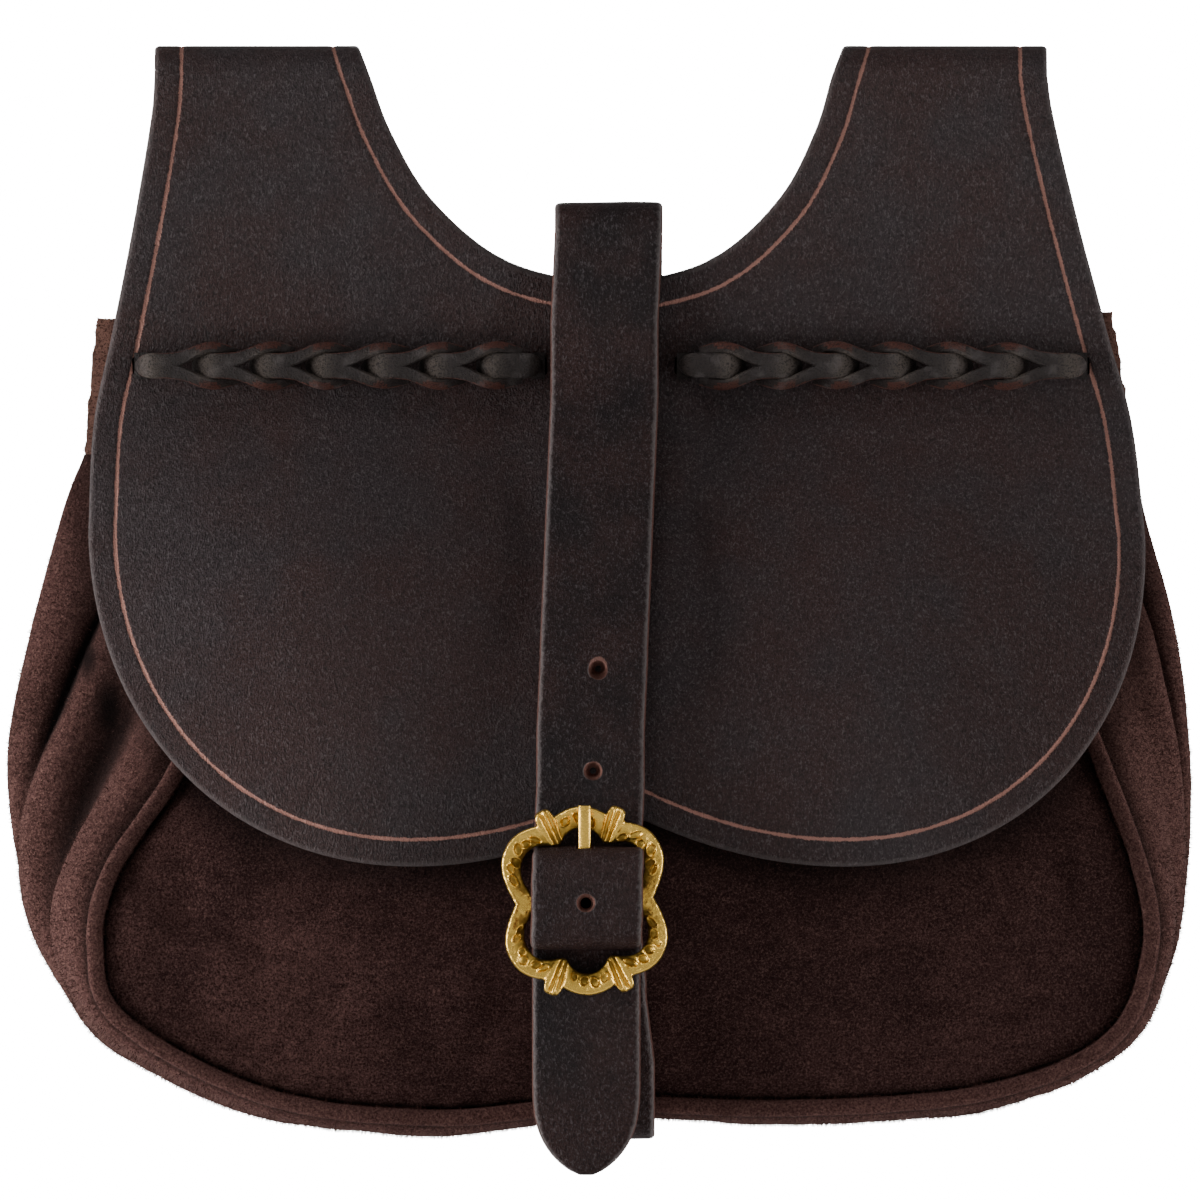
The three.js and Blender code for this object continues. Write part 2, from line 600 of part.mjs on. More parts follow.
function backPanelGeometry() {
  const edge = (station) => {
    const { backX, backZ } = seam(station);
    return place(backX, -SUEDE_THICK, backZ);
  };
  const topCorner = (way) => {
    const { x, z } = way < 0 ? BACK_TOP.left : BACK_TOP.right;
    return place(x, -SUEDE_THICK, z);
  };
  const side = (way, v) => {
    const t = Math.max(0, (v - BACK_YOKE) / (1 - BACK_YOKE));
    const seamed = way < 0 ? edge(LEFT_CORNER * t) : edge(1 - (1 - RIGHT_CORNER) * t);
    return v < BACK_YOKE ? topCorner(way).lerp(seamed, v / BACK_YOKE) : seamed;
  };
  const point = (u, v) => {
    const sides = side(-1, v).lerp(side(1, v), u);
    const top = topCorner(-1).lerp(topCorner(1), u);
    const bottom = edge(mix(LEFT_CORNER, RIGHT_CORNER, u));
    const corners = top.clone().lerp(edge(LEFT_CORNER).lerp(edge(RIGHT_CORNER), u), v);
    return sides.add(top.lerp(bottom, v)).sub(corners);
  };
  const { across, down } = FACETS.backPanel;
  return cut(sheet([patch(across, down, point)], SUEDE_THICK), laceSlots());
}

function pipingGeometry() {
  const { along, sides } = FACETS.piping;
  const rings = patch(along, sides - 1, (station, turn) => {
    const { cord, out } = seamFrame(station);
    const angle = (-turn * (sides - 1) * 2 * Math.PI) / sides;
    const away = out.clone().multiplyScalar(Math.cos(angle)).add(place(0, Math.sin(angle), 0));
    return cord.addScaledVector(away, PIPING_RADIUS);
  });
  return loft(rings);
}

// Lacing
function laceSlots() {
  const slots = [];
  for (const side of [1, -1]) {
    for (const end of [LACE.inner, LACE.outer]) {
      const x = side * end + leanAt(LACE_HEIGHT);
      slots.push(box(2 * LACE_SLOT.half, LACE_SLOT.deep, 2 * LACE_SLOT.tall, x, 0, LACE_HEIGHT));
    }
  }
  return slots;
}

// A flat strip through stations that give its middle, half width and half thickness as vectors
function strip(stations) {
  return loft(
    stations.map(({ middle, across, through }) => [
      middle.clone().add(across).add(through),
      middle.clone().sub(across).add(through),
      middle.clone().sub(across).sub(through),
      middle.clone().add(across).sub(through),
    ]),
  );
}

// Slit-thong braid: each link's head comes up in the fork of the link before it and splits into two legs
function lacingGeometry(side) {
  const skinAt = (z) => flapDepth(0, z) + FLAP_THICK + LACE.stand;
  const skin = skinAt(LACE_HEIGHT);
  const pitch = (LACE.outer - LACE.inner) / (LACE.links + LACE.last);
  const xAt = (links) => side * (LACE.outer - links * pitch) + leanAt(LACE_HEIGHT);
  const leg = (link, rows, way) =>
    strip(
      rows.map(({ along, across, half, top }) => ({
        middle: place(
          xAt(link + along),
          Math.max(skin, skinAt(LACE_HEIGHT + way * across - half)) + top / 2,
          LACE_HEIGHT + way * across,
        ),
        across: new THREE.Vector3(0, 0, half),
        through: place(0, (-side * top) / 2, 0),
      })),
    );
  const pieces = [leg(LACE.links, LACE_LAST, 1)];
  for (let link = 0; link < LACE.links; link++) {
    pieces.push(leg(link, LACE_LEG, 1), leg(link, LACE_LEG, -1));
  }
  const behind = backLeaf(LACE_HEIGHT).behind + FLAP_THICK + LACE_STUB.behind;
  const ahead = skin + LACE_STUB.ahead;
  for (const end of [0, LACE.links + LACE.last]) {
    const middle = (ahead - behind) / 2;
    pieces.push(box(THONG_THICK, behind + ahead, 2 * LACE.half, xAt(end), middle, LACE_HEIGHT));
  }
  return joined(pieces);
}

// Strap
function strapGeometry() {
  const run = bentRun(STRAP_WAY, STRAP_STEP.bend);
  const stations = [{ spot: run[0], s: 0 }];
  run.slice(1).forEach((spot, i) => {
    const from = stations.at(-1);
    const length = spot.distanceTo(from.spot);
    const parts = i === run.length - 2 ? TIP.steps : Math.ceil(length / STRAP_STEP.straight);
    for (let k = 1; k <= parts; k++) {
      const share = k / parts;
      stations.push({ spot: from.spot.clone().lerp(spot, share), s: from.s + length * share });
    }
  });
  const total = stations.at(-1).s;
  const rows = stations.map(({ spot, s }, i) => {
    const ahead = stations[Math.min(i + 1, stations.length - 1)].spot;
    const back = stations[Math.max(i - 1, 0)].spot;
    const out = new THREE.Vector3(0, ahead.z - back.z, back.y - ahead.y).normalize();
    const left = Math.max(0, 1 - (total - s) / TIP.length);
    const half = mix(TIP.half, STRAP_HALF, (1 - left ** TIP.run) ** TIP.round);
    return [-1, 1].map((end) =>
      spot.clone().add(new THREE.Vector3(end * half, 0, 0)).addScaledVector(out, STRAP_THICK / 2),
    );
  });
  const holes = HOLES.map(({ x, depth, z }) => {
    const punch = new THREE.CylinderGeometry(HOLE_RADIUS, HOLE_RADIUS, PUNCH.length, PUNCH.sides);
    return welded(punch.translate(x, -depth, z));
  });
  const slots = PRONG_SLOTS.map(({ half, deep, tall, depth, z }) =>
    box(2 * half, deep, tall, BUCKLE.x, depth, z),
  );
  return cut(sheet([rows], STRAP_THICK), [...holes, ...slots]);
}

// Buckle
function buckleFrameGeometry() {
  const quarter = tableCurve(BUCKLE_QUARTER, "angle");
  const front = BUCKLE.thick / 2;
  const rings = Array.from({ length: FACETS.buckle }, (_, i) => {
    const turn = (360 * i) / FACETS.buckle;
    const folded = turn % 180 > 90 ? 180 - (turn % 180) : turn % 180;
    const { outer, inner } = quarter(folded);
    const rib = BUCKLE_RIBS.height * Math.cos((2 * Math.PI * turn) / BUCKLE_RIBS.each);
    const angle = THREE.MathUtils.degToRad(turn + BUCKLE_TILT);
    return BUCKLE_BAND.map(({ share, step, lift, drop, ribbed }) => {
      const radius = mix(outer, inner, share) - step;
      const depth = BUCKLE.depth + lift * front - drop + ribbed * rib;
      return place(BUCKLE.x + radius * Math.cos(angle), depth, BUCKLE.z + radius * Math.sin(angle));
    });
  });
  const bar = new THREE.CylinderGeometry(BAR.radius, BAR.radius, 2 * BAR.half, FACETS.bar);
  bar.rotateZ(Math.PI / 2).translate(BUCKLE.x, -BAR.depth, BUCKLE.z);
  const deep = BUCKLE.depth - BAR.depth + BAR.radius;
  const lugs = [1, -1].map((side) =>
    box(LUG.wide, deep, LUG.tall, BUCKLE.x + side * BAR.half, BUCKLE.depth - deep / 2, BUCKLE.z),
  );
  return joined([loft(rings, true), welded(bar), ...lugs]);
}

function buckleProngGeometry() {
  const inside = BAR.radius + PRONG_EYE.gap;
  const ring = new THREE.Shape().absarc(0, 0, inside + PRONG_EYE.thick, 0, 2 * Math.PI);
  ring.holes.push(new THREE.Path().absarc(0, 0, inside, 0, 2 * Math.PI));
  const eye = new THREE.ExtrudeGeometry(ring, {
    depth: 2 * PRONG_HALF,
    bevelEnabled: false,
    curveSegments: FACETS.eye,
  });
  eye.rotateY(Math.PI / 2).translate(BUCKLE.x - PRONG_HALF, -BAR.depth, BUCKLE.z);
  const shank = PRONG.map(({ up, ahead, half, thick }) => ({
    middle: place(BUCKLE.x, BAR.depth + ahead, BUCKLE.z + up),
    across: new THREE.Vector3(half, 0, 0),
    through: place(0, -thick, 0),
  }));
  return joined([welded(eye), strip(shank)]);
}

// Finishes
function finish(color, roughness, metalness = 0) {
  return new THREE.MeshStandardMaterial({ color, roughness, metalness });
}
const LEATHER = finish(0x3a2f2f, 0.55);
const STRAP_LEATHER = finish(0x302828, 0.5);
const SUEDE = finish(0x45302b, 0.95);
const PIPING_SUEDE = finish(0x503832, 0.9);
const THONG_LEATHER = finish(0x3b2a26, 0.55);
const BRASS = finish(0xb98f3e, 0.35, 1);

const PIECES = [
  { name: "flap", shape: flapGeometry(), material: LEATHER },
  { name: "back_panel", shape: backPanelGeometry(), material: SUEDE },
  { name: "gusset", shape: gussetGeometry(), material: SUEDE },
  { name: "front_panel", shape: frontPanelGeometry(), material: SUEDE },
  { name: "piping", shape: pipingGeometry(), material: PIPING_SUEDE },
  { name: "strap", shape: strapGeometry(), material: STRAP_LEATHER },
  { name: "buckle_frame", shape: buckleFrameGeometry(), material: BRASS },
  { name: "buckle_prong", shape: buckleProngGeometry(), material: BRASS },
  { name: "lacing_left", shape: lacingGeometry(-1), material: THONG_LEATHER },
  { name: "lacing_right", shape: lacingGeometry(1), material: THONG_LEATHER },
];

const beltBag = new THREE.Group();
for (const { name, shape, material } of PIECES) {
  const mesh = new THREE.Mesh(shape, material);
  mesh.name = name;
  beltBag.add(mesh);
}

export default beltBag;
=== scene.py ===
"""Belt bag: a laced two-lobed flap over a gusseted suede pouch, closed by a strap and a cast buckle."""
import math

import bmesh
import bpy
import numpy as np
from bpy.props import FloatProperty, FloatVectorProperty, PointerProperty
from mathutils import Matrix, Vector, noise
from mathutils.kdtree import KDTree


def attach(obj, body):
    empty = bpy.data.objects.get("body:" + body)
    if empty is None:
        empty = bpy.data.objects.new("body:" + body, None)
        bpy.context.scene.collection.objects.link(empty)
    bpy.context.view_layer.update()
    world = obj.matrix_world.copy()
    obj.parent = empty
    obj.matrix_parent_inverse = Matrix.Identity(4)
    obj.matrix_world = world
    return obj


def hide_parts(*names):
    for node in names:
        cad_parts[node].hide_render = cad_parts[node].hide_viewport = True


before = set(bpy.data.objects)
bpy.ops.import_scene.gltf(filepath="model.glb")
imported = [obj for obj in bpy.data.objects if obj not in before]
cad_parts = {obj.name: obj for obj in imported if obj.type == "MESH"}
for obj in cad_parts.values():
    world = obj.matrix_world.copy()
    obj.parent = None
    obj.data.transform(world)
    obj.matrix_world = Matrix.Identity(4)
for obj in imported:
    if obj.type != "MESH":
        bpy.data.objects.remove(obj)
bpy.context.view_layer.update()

bl_info = {
    "name": "Belt Bag",
    "version": (1, 0, 0),
    "blender": (4, 5, 0),
    "location": "View3D > Sidebar > Belt Bag",
    "description": "Models a laced leather and suede belt bag with a cast buckle",
    "category": "Add Mesh",
}

MM = 0.001
BODY = "root"


def rows(columns, *values):
    """A short table: its named columns, each as an array with a number for each row."""
    return dict(zip(columns.split(), np.array(values, float).T))


# Belt loops and flap, in millimetres. "depth" is the distance in front of the origin, so y = -depth
FLAP_THICK = 3
FOLD_RADIUS = 4
FOLD_HEIGHT = -4
LACE_HEIGHT = -73
BACK_LEAF_END = -86
BACK_LEAF_INNER = 15
NOTCH_HEIGHT = -178.4
LOBE_LOW_HALF, LOBE_LOW_Z = 50.6, -191.4
LOBE_WIDE_HALF, LOBE_WIDE_Z = 125.3, -113.1
LOBE_SQUARENESS = 2.12
LOBE_TURN = 0.3
NECK_SPREAD = 2.4
VALLEY = 0.12
FLAP_LEAN = 0.0345
FLAP_SHIFT = -1.6

FLAP_OUTER = rows(
    "z half",
    (-113.1, 125.3),
    (-85.9, 123.0),
    (-65.3, 118.0),
    (-37.4, 111.6),
    (-12.6, 106.7),
    (-4.0, 105.8),
)
FLAP_NECK = rows(
    "along half z",
    (0.0, 0.0, -54.7),
    (0.3, 24.4, -48.1),
    (0.55, 40.9, -33.9),
    (0.78, 50.2, -17.5),
    (1.0, 54.8, -4.0),
)
FLAP_DEPTH = rows(
    "z centre lobe side",
    (-191.4, 44.6, 3.0, 18.0),
    (-180.0, 44.6, 3.3, 18.0),
    (-168.0, 42.6, 3.5, 18.0),
    (-155.0, 38.5, 3.5, 17.0),
    (-140.0, 32.0, 3.5, 15.0),
    (-125.0, 25.2, 3.0, 12.0),
    (-113.0, 18.8, 2.5, 9.0),
    (-102.0, 12.8, 1.6, 5.5),
    (-92.0, 7.0, 0.8, 2.5),
    (-82.0, 2.0, 0.2, 0.4),
    (-73.0, 0.6, 0.0, 0.0),
    (-66.0, 0.8, 0.0, 0.0),
    (-56.0, 1.9, 0.0, 0.0),
    (-40.0, 4.0, 0.0, 0.0),
    (-20.0, 4.6, 0.0, 0.0),
    (-4.0, 4.0, 0.0, 0.0),
)
BACK_LEAF = rows(
    "z behind",
    (-86.0, 2.1),
    (-73.0, 2.1),
    (-56.0, 2.9),
    (-40.0, 4.2),
    (-20.0, 4.6),
    (-4.0, 4.0),
)

# Flat rings cut inside the flap's edge, as distances from it, and the spacing of its inner net
FLAP_RINGS = (0.45, 1.0, 1.8, 5.2, 5.75, 6.1, 6.4, 6.7, 7.05, 7.6, 9.5)
FLAP_NET = 2.2
NET_WELD, NET_START, NET_END, SLOT_MARGIN = 1e-4, 10, 9, 4
EDGE_STEP, CORNER_STEP, NEAREST_STEP = 2.4, 0.5, 0.2
LEAF_CORNERS = (16, 15, 13)
FOLD_EASE = 12
CREASE_BOW = 0.12
INNER_ROUND = 0.6
FOLD_POINTS, RISE_POINTS, FALL_POINTS, LOBE_POINTS, NECK_POINTS, CORNER_POINTS = 12, 60, 50, 160, 120, 24

# Short creases pressed into the flap: middle, run as a direction, length, width and depth
FLAP_CREASES = rows(
    "x z run_x run_z length width deep",
    (-26.0, -66.0, 0.9, 0.45, 16.0, 1.6, 0.35),
    (-31.0, -58.0, 0.8, 0.6, 13.0, 1.4, 0.3),
    (25.0, -66.0, 0.9, -0.4, 15.0, 1.5, 0.35),
    (31.0, -57.0, 0.8, -0.6, 12.0, 1.4, 0.3),
    (-24.0, -84.0, 0.3, 1.0, 18.0, 2.2, 0.4),
    (24.0, -86.0, -0.25, 1.0, 20.0, 2.2, 0.45),
    (-20.0, -120.0, 0.1, 1.0, 46.0, 4.5, 0.8),
    (21.0, -124.0, -0.1, 1.0, 50.0, 4.5, 0.9),
    (-62.0, -92.0, 1.0, 0.12, 40.0, 3.5, 0.4),
    (64.0, -94.0, 1.0, -0.1, 44.0, 3.5, 0.4),
    (-88.0, -150.0, 0.6, 1.0, 26.0, 5.0, 0.45),
    (84.0, -148.0, -0.5, 1.0, 28.0, 5.0, 0.5),
)

# Pouch seams round the U, from the left corner of the mouth to the right one: the piping's centre line, the
# edge of the back panel, how far the gusset stands out, and the depth of its sharp rear crease and its soft
# middle valley, each with its place as a share of the gusset's width
SEAMS = rows(
    "front_x depth front_z back_x back_z bulge rear rear_at middle middle_at",
    (-78, 4.6, -96, -124, -94, 0.5, 0, 0.48, 0, 0.33),
    (-84, 10.0, -113, -129.2, -108, 1.5, 0.6, 0.42, 1.0, 0.15),
    (-92.5, 18.5, -140, -136.2, -137, 4, 4.6, 0.49, 3.0, 0.2),
    (-101.5, 26.5, -168, -141.2, -168, 6, 3.4, 0.59, 6.0, 0.3),
    (-117, 32, -192, -136.4, -200, 7.5, 0.6, 0.85, 4.8, 0.38),
    (-121, 34, -210, -125.8, -220, 6, 0, 0.9, 1.6, 0.52),
    (-114.7, 35.5, -228, -112.5, -234, 4, 0, 0.7, 0, 0.4),
    (-80, 36, -246, -80, -247.5, 3.6, 0, 0.7, 0, 0.4),
    (-40, 36, -250.8, -38, -250, 3.6, 0, 0.7, 0, 0.4),
    (-2, 36, -247.6, 0, -248.5, 2, 0, 0.7, 0, 0.4),
    (43.5, 36, -248.6, 40, -249, 2.6, 0, 0.7, 0, 0.4),
    (90, 36, -244.8, 84, -246.5, 3, 0, 0.7, 0, 0.4),
    (119.5, 35.5, -232, 117, -234, 3.5, 0, 0.7, 0, 0.4),
    (128.5, 34, -210, 127.5, -217, 5, 0, 0.68, 0.6, 0.36),
    (125.5, 31.5, -190, 134.6, -197, 5.5, 1.4, 0.66, 1.2, 0.35),
    (117, 26, -167, 136.8, -165, 5, 3.0, 0.63, 1.6, 0.33),
    (107, 17.5, -140, 134.2, -136, 3.5, 3.0, 0.6, 1.4, 0.33),
    (98, 9.5, -113, 127.4, -108, 1.5, 1.4, 0.5, 0.8, 0.33),
    (92, 4.6, -96, 125, -94, 0.5, 0, 0.48, 0, 0.33),
)
SEAMS["station"] = np.linspace(0, 1, len(SEAMS["depth"]))
BACK_TOP = rows("x z", (-121.1, -61.8), (119.9, -60.1))

# Pouch: the stations of its lower corners, how its panels belly, fold and tuck in, and how far shades reach
LEFT_CORNER, RIGHT_CORNER = 6 / 18, 12 / 18
BELLY, BELLY_POWER = 15.3, 2.2
MOUTH_BOW = 2.8
CREASE_WIDTH, VALLEY_WIDTH = 0.065, 0.11
LIP, LIP_RISE, LIP_REACH = 0.3, 0.045, 0.26
YOKE = 0.2
SEAM_BITE = 0.15
FRONT_TUCK, GUSSET_TUCK = 1.05, 0.9
SHADE_REACH = 6
FOLD_FADE, SWELL_FADE = 7, 6
DRAWN = (1, 1, 0.4)

# Suede grids as steps each way, and the loose fibres on them: how many, their length, radius and lean, their
# share where the nap lies flat, and how their lengths vary
FRONT_GRID, GUSSET_GRID, BACK_GRID, PIPING_GRID = (170, 130), (96, 420), (130, 100), (420, 24)
FRONT_NAP, GUSSET_NAP, BACK_NAP, PIPING_NAP = 30000, 36000, 24000, 12000
NAP_LENGTH, NAP_RADIUS, NAP_LEAN, NAP_FLAT = 1.25, 0.09, 0.9, 0.3
NAP_RANGE = (0.4, 1.2)

# Fluffed top corners of the back panel: where they start, how they fade, and how much each is brushed
# lighter, as raw suede and as a painted highlight, the left one more, where the light falls
TAB_START, TAB_WIDTH, TAB_FOOT, TAB_RISE = 113, 9, -110, 20
TAB_LEFT_LIT, TAB_RIGHT_LIT = 1.7, 0.9

# Front panel beside its seam: gathers, the tuck into the seam and the calm strip, by their reach from it
GATHER_HIGH, GATHER_PITCH, GATHER_REACH = 0.35, 0.75, 7
TUCK_REACH, CALM_REACH, SEAM_STATIONS = 3, 6, 400

# How brushed the nap is: all over a piece, then by its swells, in the light patch and beside the seam
GUSSET_BRUSHED, BACK_BRUSHED, PIPING_BRUSHED = 0.5, -0.5, 0.7
FRONT_SWELL, GUSSET_SWELL, BACK_SWELL = 0.22, 0.4, 0.2
PATCH_BRUSHED, EDGE_BRUSHED, EDGE_REACH = 0.45, 0.25, 5

# Painted shade on the suede in its hollows: the greatest share of each, where it starts and how it fades
FRONT_SHADE, GUSSET_SHADE, POCKET_SHADE = 0.6, 0.5, 0.95
SEAM_SHADE, SEAM_EDGE, SEAM_FADE = 0.85, 2.3, 0.4
CREASE_FROM, CREASE_OVER = 1.6, 2
VALLEY_SHADE, VALLEY_FROM, VALLEY_OVER = 0.88, 2, 3.4
CORD_SHADE, CORD_REACH = 0.9, 0.025
SLOT_SHADE_REACH = 6

# Soft swells of the back panel, which start below the belt loops: where, over what drop, and their share
OPEN_BACK, OPEN_FADE, BACK_RELIEF = -100, 30, 0.4

# Piping: how square its section is, how far it is drawn in, and where its sides are painted in shade beside
# the suede
PIPING_SQUARE, PIPING_SHRINK = 0.7, 0.05
CORD_SIDE, CORD_SIDE_FADE, CORD_FRONT, CORD_SIDE_SHADE = 0.8, 0.2, 0.6, 0.8

# Light patch low on the left of the front panel
PATCH_X, PATCH_Z, PATCH_WIDE, PATCH_TALL = -78, -228, 38, 26

# Soft swells of each surface, each of them a height, a spacing and the seed of its noise
SWELLS = {
    "flap": ((0.35, 26, 1), (0.16, 9, 2)),
    "front": ((0.9, 34, 3), (0.4, 12, 4), (0.14, 4.5, 5)),
    "gusset": ((0.5, 22, 6), (0.1, 4, 8)),
    "gusset_drawn": ((0.3, 9, 7),),
    "back": ((0.5, 40, 9), (0.15, 11, 10)),
    "back_rags": ((0.7, 2.6, 18), (0.45, 1.3, 19)),
    "piping": ((0.22, 7, 11),),
    "piping_brushed": ((0.4, 14, 12),),
    "strap": ((0.22, 17, 13), (0.08, 6, 14)),
    "strap_wrinkles": ((0.2, 2.2, 20),),
    "buckle_pits": ((0.12, 2.2, 16), (0.15, 0.9, 17)),
}

# Painted shade in the pockets where the gusset's folds come out from under the flap's left edge
POCKETS = rows("x z half tall", (-123.2, -142, 3.0, 6), (-117.6, -155, 4.4, 10))

# Creases and dents of the front panel: middle, run, length, width and depth
PANEL_CREASES = rows(
    "x z run_x run_z length width deep",
    (-62.0, -213.0, 1.0, 0.03, 62.0, 2.6, 0.9),
    (62.0, -211.0, 1.0, -0.04, 70.0, 2.6, 0.8),
    (-88.0, -232.0, 1.0, -0.45, 30.0, 4.0, 0.8),
    (92.0, -230.0, 1.0, 0.5, 30.0, 4.0, 0.8),
    (-94.0, -206.0, 1.0, -0.35, 44.0, 5.0, 1.3),
    (-100.0, -200.0, 0.25, 1.0, 26.0, 4.0, 0.9),
    (108.0, -196.0, -0.2, 1.0, 26.0, 4.0, 0.9),
    (-26.0, -226.0, 0.35, 1.0, 22.0, 5.0, 0.8),
    (20.0, -226.0, -0.3, 1.0, 22.0, 5.0, 0.8),
)

# Strap, its holes, the buckle's place, and the places that the strap passes: bend is the radius of its turn
STRAP_HALF, STRAP_SPREAD, STRAP_ASLANT = 12.8, 0.4, 0.045
TIP_LENGTH = 24
TIP_HALF, TIP_RUN, TIP_ROUND = 1.9, 3.2, 0.8
HOLE_RADIUS, HOLE_INNER = 2.1, 0.8
HOLES = rows("x z", (-2.1, -144.6), (-3.3, -168.7), (-5.0, -199.9))
STRAP_STEP = 0.9
BUCKLE_X, BUCKLE_Z, BUCKLE_DEPTH, BUCKLE_THICK = -5.3, -199.4, 55.1, 3.6
BUCKLE_TILT = 3
BAR_RADIUS, BAR_DEPTH, BAR_HALF = 1.4, 51.6, 14.6
LUG_WIDE, LUG_TALL = 2.4, 4
PRONG_HALF = 1.5
PRONG_SLOTS = rows("wide deep tall depth z", (4.2, 11.5, 10, 53.1, -197.8), (4.2, 3.7, 8, 55.7, -188.2))
WRINKLE_Z, WRINKLE_REACH, WRINKLE_STRETCH = -170, 9, (0.3, 1, 1)
TURN_SHARE = 0.49
STRAP_WAY = rows(
    "x depth z bend",
    (-5.3, 54.85, -206, 0),
    (-5.3, 54.85, -196.15, 3.25),
    (-5.3, 48.35, -196.15, 3.25),
    (-4.5, 48.2, -206, 40),
    (-3.5, 46.9, -220, 40),
    (-1.5, 43.6, -238, 40),
    (-1.5, 40.3, -254.3, 6),
    (-1.5, -3.45, -254.3, 4),
    (0.4, -3.45, -35.7, 5),
    (0.4, 7.8, -35.7, 5),
    (-0.6, 6.6, -72, 40),
    (-3.1, 38.8, -141, 60),
    (-3.9, 49.4, -166, 40),
    (-4.5, 51.1, -188.2, 3),
    (-4.5, 58.2, -188.2, 3.4),
    (-4.7, 59.6, -198.7, 40),
    (-4.9, 58.2, -209.2, 3.4),
    (-4.9, 51.4, -209.2, 2.6),
    (-4.9, 50.9, -219, 20),
    (-4.9, 48.6, -240, 60),
    (-4.9, 45.6, -264, 0),
)

# Half of the strap's section from the middle of its inner face round to the middle of its outer face:
# share of the half width, distance in from the edge, and height as a share of half the thickness
STRAP_SECTION = rows(
    "share inset lift",
    (0.0, 0, -1.0),
    (0.5, 0, -1.0),
    (1.0, 0.9, -1.0),
    (1.0, 0.25, -0.85),
    (1.0, 0.0, -0.45),
    (1.0, 0.0, 0.3),
    (1.0, 0.25, 0.68),
    (1.0, 0.7, 0.9),
    (1.0, 1.4, 1.0),
    (1.0, 2.4, 1.02),
    (0.65, 0, 1.06),
    (0.3, 0, 1.09),
    (0.0, 0, 1.1),
)

# One quarter of the buckle's outline from the waist to the top lobe: outer and inner radius
BUCKLE_QUARTER = rows(
    "angle outer inner",
    (0, 16.3, 12.3),
    (6, 17.3, 12.4),
    (14, 18.9, 13.4),
    (20, 20.2, 15.0),
    (27, 21.5, 16.4),
    (35, 22.3, 17.3),
    (43, 22.6, 17.6),
    (50, 22.2, 17.2),
    (56, 21.5, 16.2),
    (60.5, 21.2, 15.3),
    (62.5, 23.1, 14.9),
    (67, 23.6, 14.4),
    (71, 23.2, 14.7),
    (73, 21.4, 15.2),
    (76, 21.5, 15.9),
    (83, 22.1, 16.9),
    (90, 22.4, 17.2),
)

# Scoops cast along the inside of the band: the stretches that they fill, in degrees round the frame, and the
# ranges of each one's place astray, share of the band, half length, half width, slant and depth
BUCKLE_SCOOPS = rows("start end", (17, 58), (77, 103), (122, 163), (197, 238), (257, 283), (302, 343))
SCOOP_STEP, SCOOP_SEED = 7.0, 5
SCOOP_RANGES = rows(
    "low high",
    (-2, 2),
    (0.24, 0.55),
    (0.6, 1.1),
    (0.7, 1.3),
    (-0.9, 0.9),
    (0.05, 0.4),
)
SCOOP_LIP, SCOOP_LIP_AT, SCOOP_LIP_WIDE, SCOOP_LIMIT = 0.42, 1.2, 0.22, 0.55

# Rest of the buckle's relief: its ribbed knobs, plain waist, channel, and the places painted in shade round
# the bar.
# Its section has the share of the band from the inner to the outer edge, and the height as a share of half
# the thickness
KNOB_RISE = 0.7
WAIST_START, WAIST_FADE, WAIST_HIGH = 5, 9, 0.9
CHANNEL_END, CHANNEL_FADE, FACE_LIFT = 0.82, 0.12, 0.25
HOLLOW_DEEP = 1.7
BAR_SHADE_RADIUS, BAR_SHADE_STAND, BAR_SHADED = 11, 2.2, 2
BUCKLE_STATIONS = 720
KNOB_RIBS = rows("angle half", (62.8, 2.3), (68.0, 1.2), (72.4, 0.9))
BUCKLE_SECTION = rows(
    "share lift",
    (0.1, -1.0),
    (0.0, -0.55),
    (0.0, 0.1),
    (0.05, 0.27),
    (0.12, 0.36),
    (0.2, 0.42),
    (0.3, 0.49),
    (0.4, 0.57),
    (0.5, 0.67),
    (0.6, 0.78),
    (0.7, 0.89),
    (0.8, 0.98),
    (0.88, 1.03),
    (0.94, 0.93),
    (0.98, 0.66),
    (1.0, 0.25),
    (1.0, -0.5),
    (0.92, -1.0),
)

# Prong from its eye on the bar, through the strap, to its tip on the frame
PRONG_REST = BUCKLE_DEPTH + BUCKLE_THICK / 2 + 0.3
PRONG_SHANK = rows(
    "z depth half tall",
    (BUCKLE_Z + 0.4, BAR_DEPTH + 2.4, PRONG_HALF, 0.7),
    (BUCKLE_Z + 4, BAR_DEPTH + 3.1, PRONG_HALF, 0.8),
    (BUCKLE_Z + 9, BAR_DEPTH + 4.1, PRONG_HALF, 0.85),
    (BUCKLE_Z + 14.6, BAR_DEPTH + 5.3, PRONG_HALF, 0.9),
    (BUCKLE_Z + 20.6, PRONG_REST + 0.8, PRONG_HALF, 0.9),
    (BUCKLE_Z + 22.4, PRONG_REST + 0.6, 0.9 * PRONG_HALF, 0.6),
)
PRONG_STEPS, PRONG_SIDES, PRONG_SQUARE = 48, 20, 0.9
EYE_WALL, EYE_CLEAR = 1.8, 0.3
ROUND_SIDES, EYE_SIDES = 32, 40

# Braided lacing: its slots and stubs, how uneven its strips are, the pale round of its heads, and the way of
# one leg of a link, and of the last link, in pitches from its head
LACE_INNER, LACE_OUTER, LACE_LINKS = 17.2, 111.4, 7
LACE_PITCH = (LACE_OUTER - LACE_INNER) / LACE_LINKS
LACE_STAND = 1.2
LACE_SLOT_HALF, LACE_SLOT_TALL, LACE_SLOT_CORNER = 2.1, 3.2, 1.5
LACE_SNUG_HALF, LACE_SNUG_TALL = 1.55, 3.1
LACE_STUB_WIDE, LACE_STUB_TALL = 3.2, 6.3
LACE_THICK = 1.7
LACE_STRAY, LACE_TWIST, LACE_FREE = 0.6, 14, 0.4
LACE_STEPS, LACE_SIDES, LACE_SQUARE = 30, 16, 0.42
LACE_APART, LACE_SPACING, LACE_SEED = 2.5, 0.8, 15
LACE_LOW = 5
STUB_PAST, STUB_SHORT = 4, 1
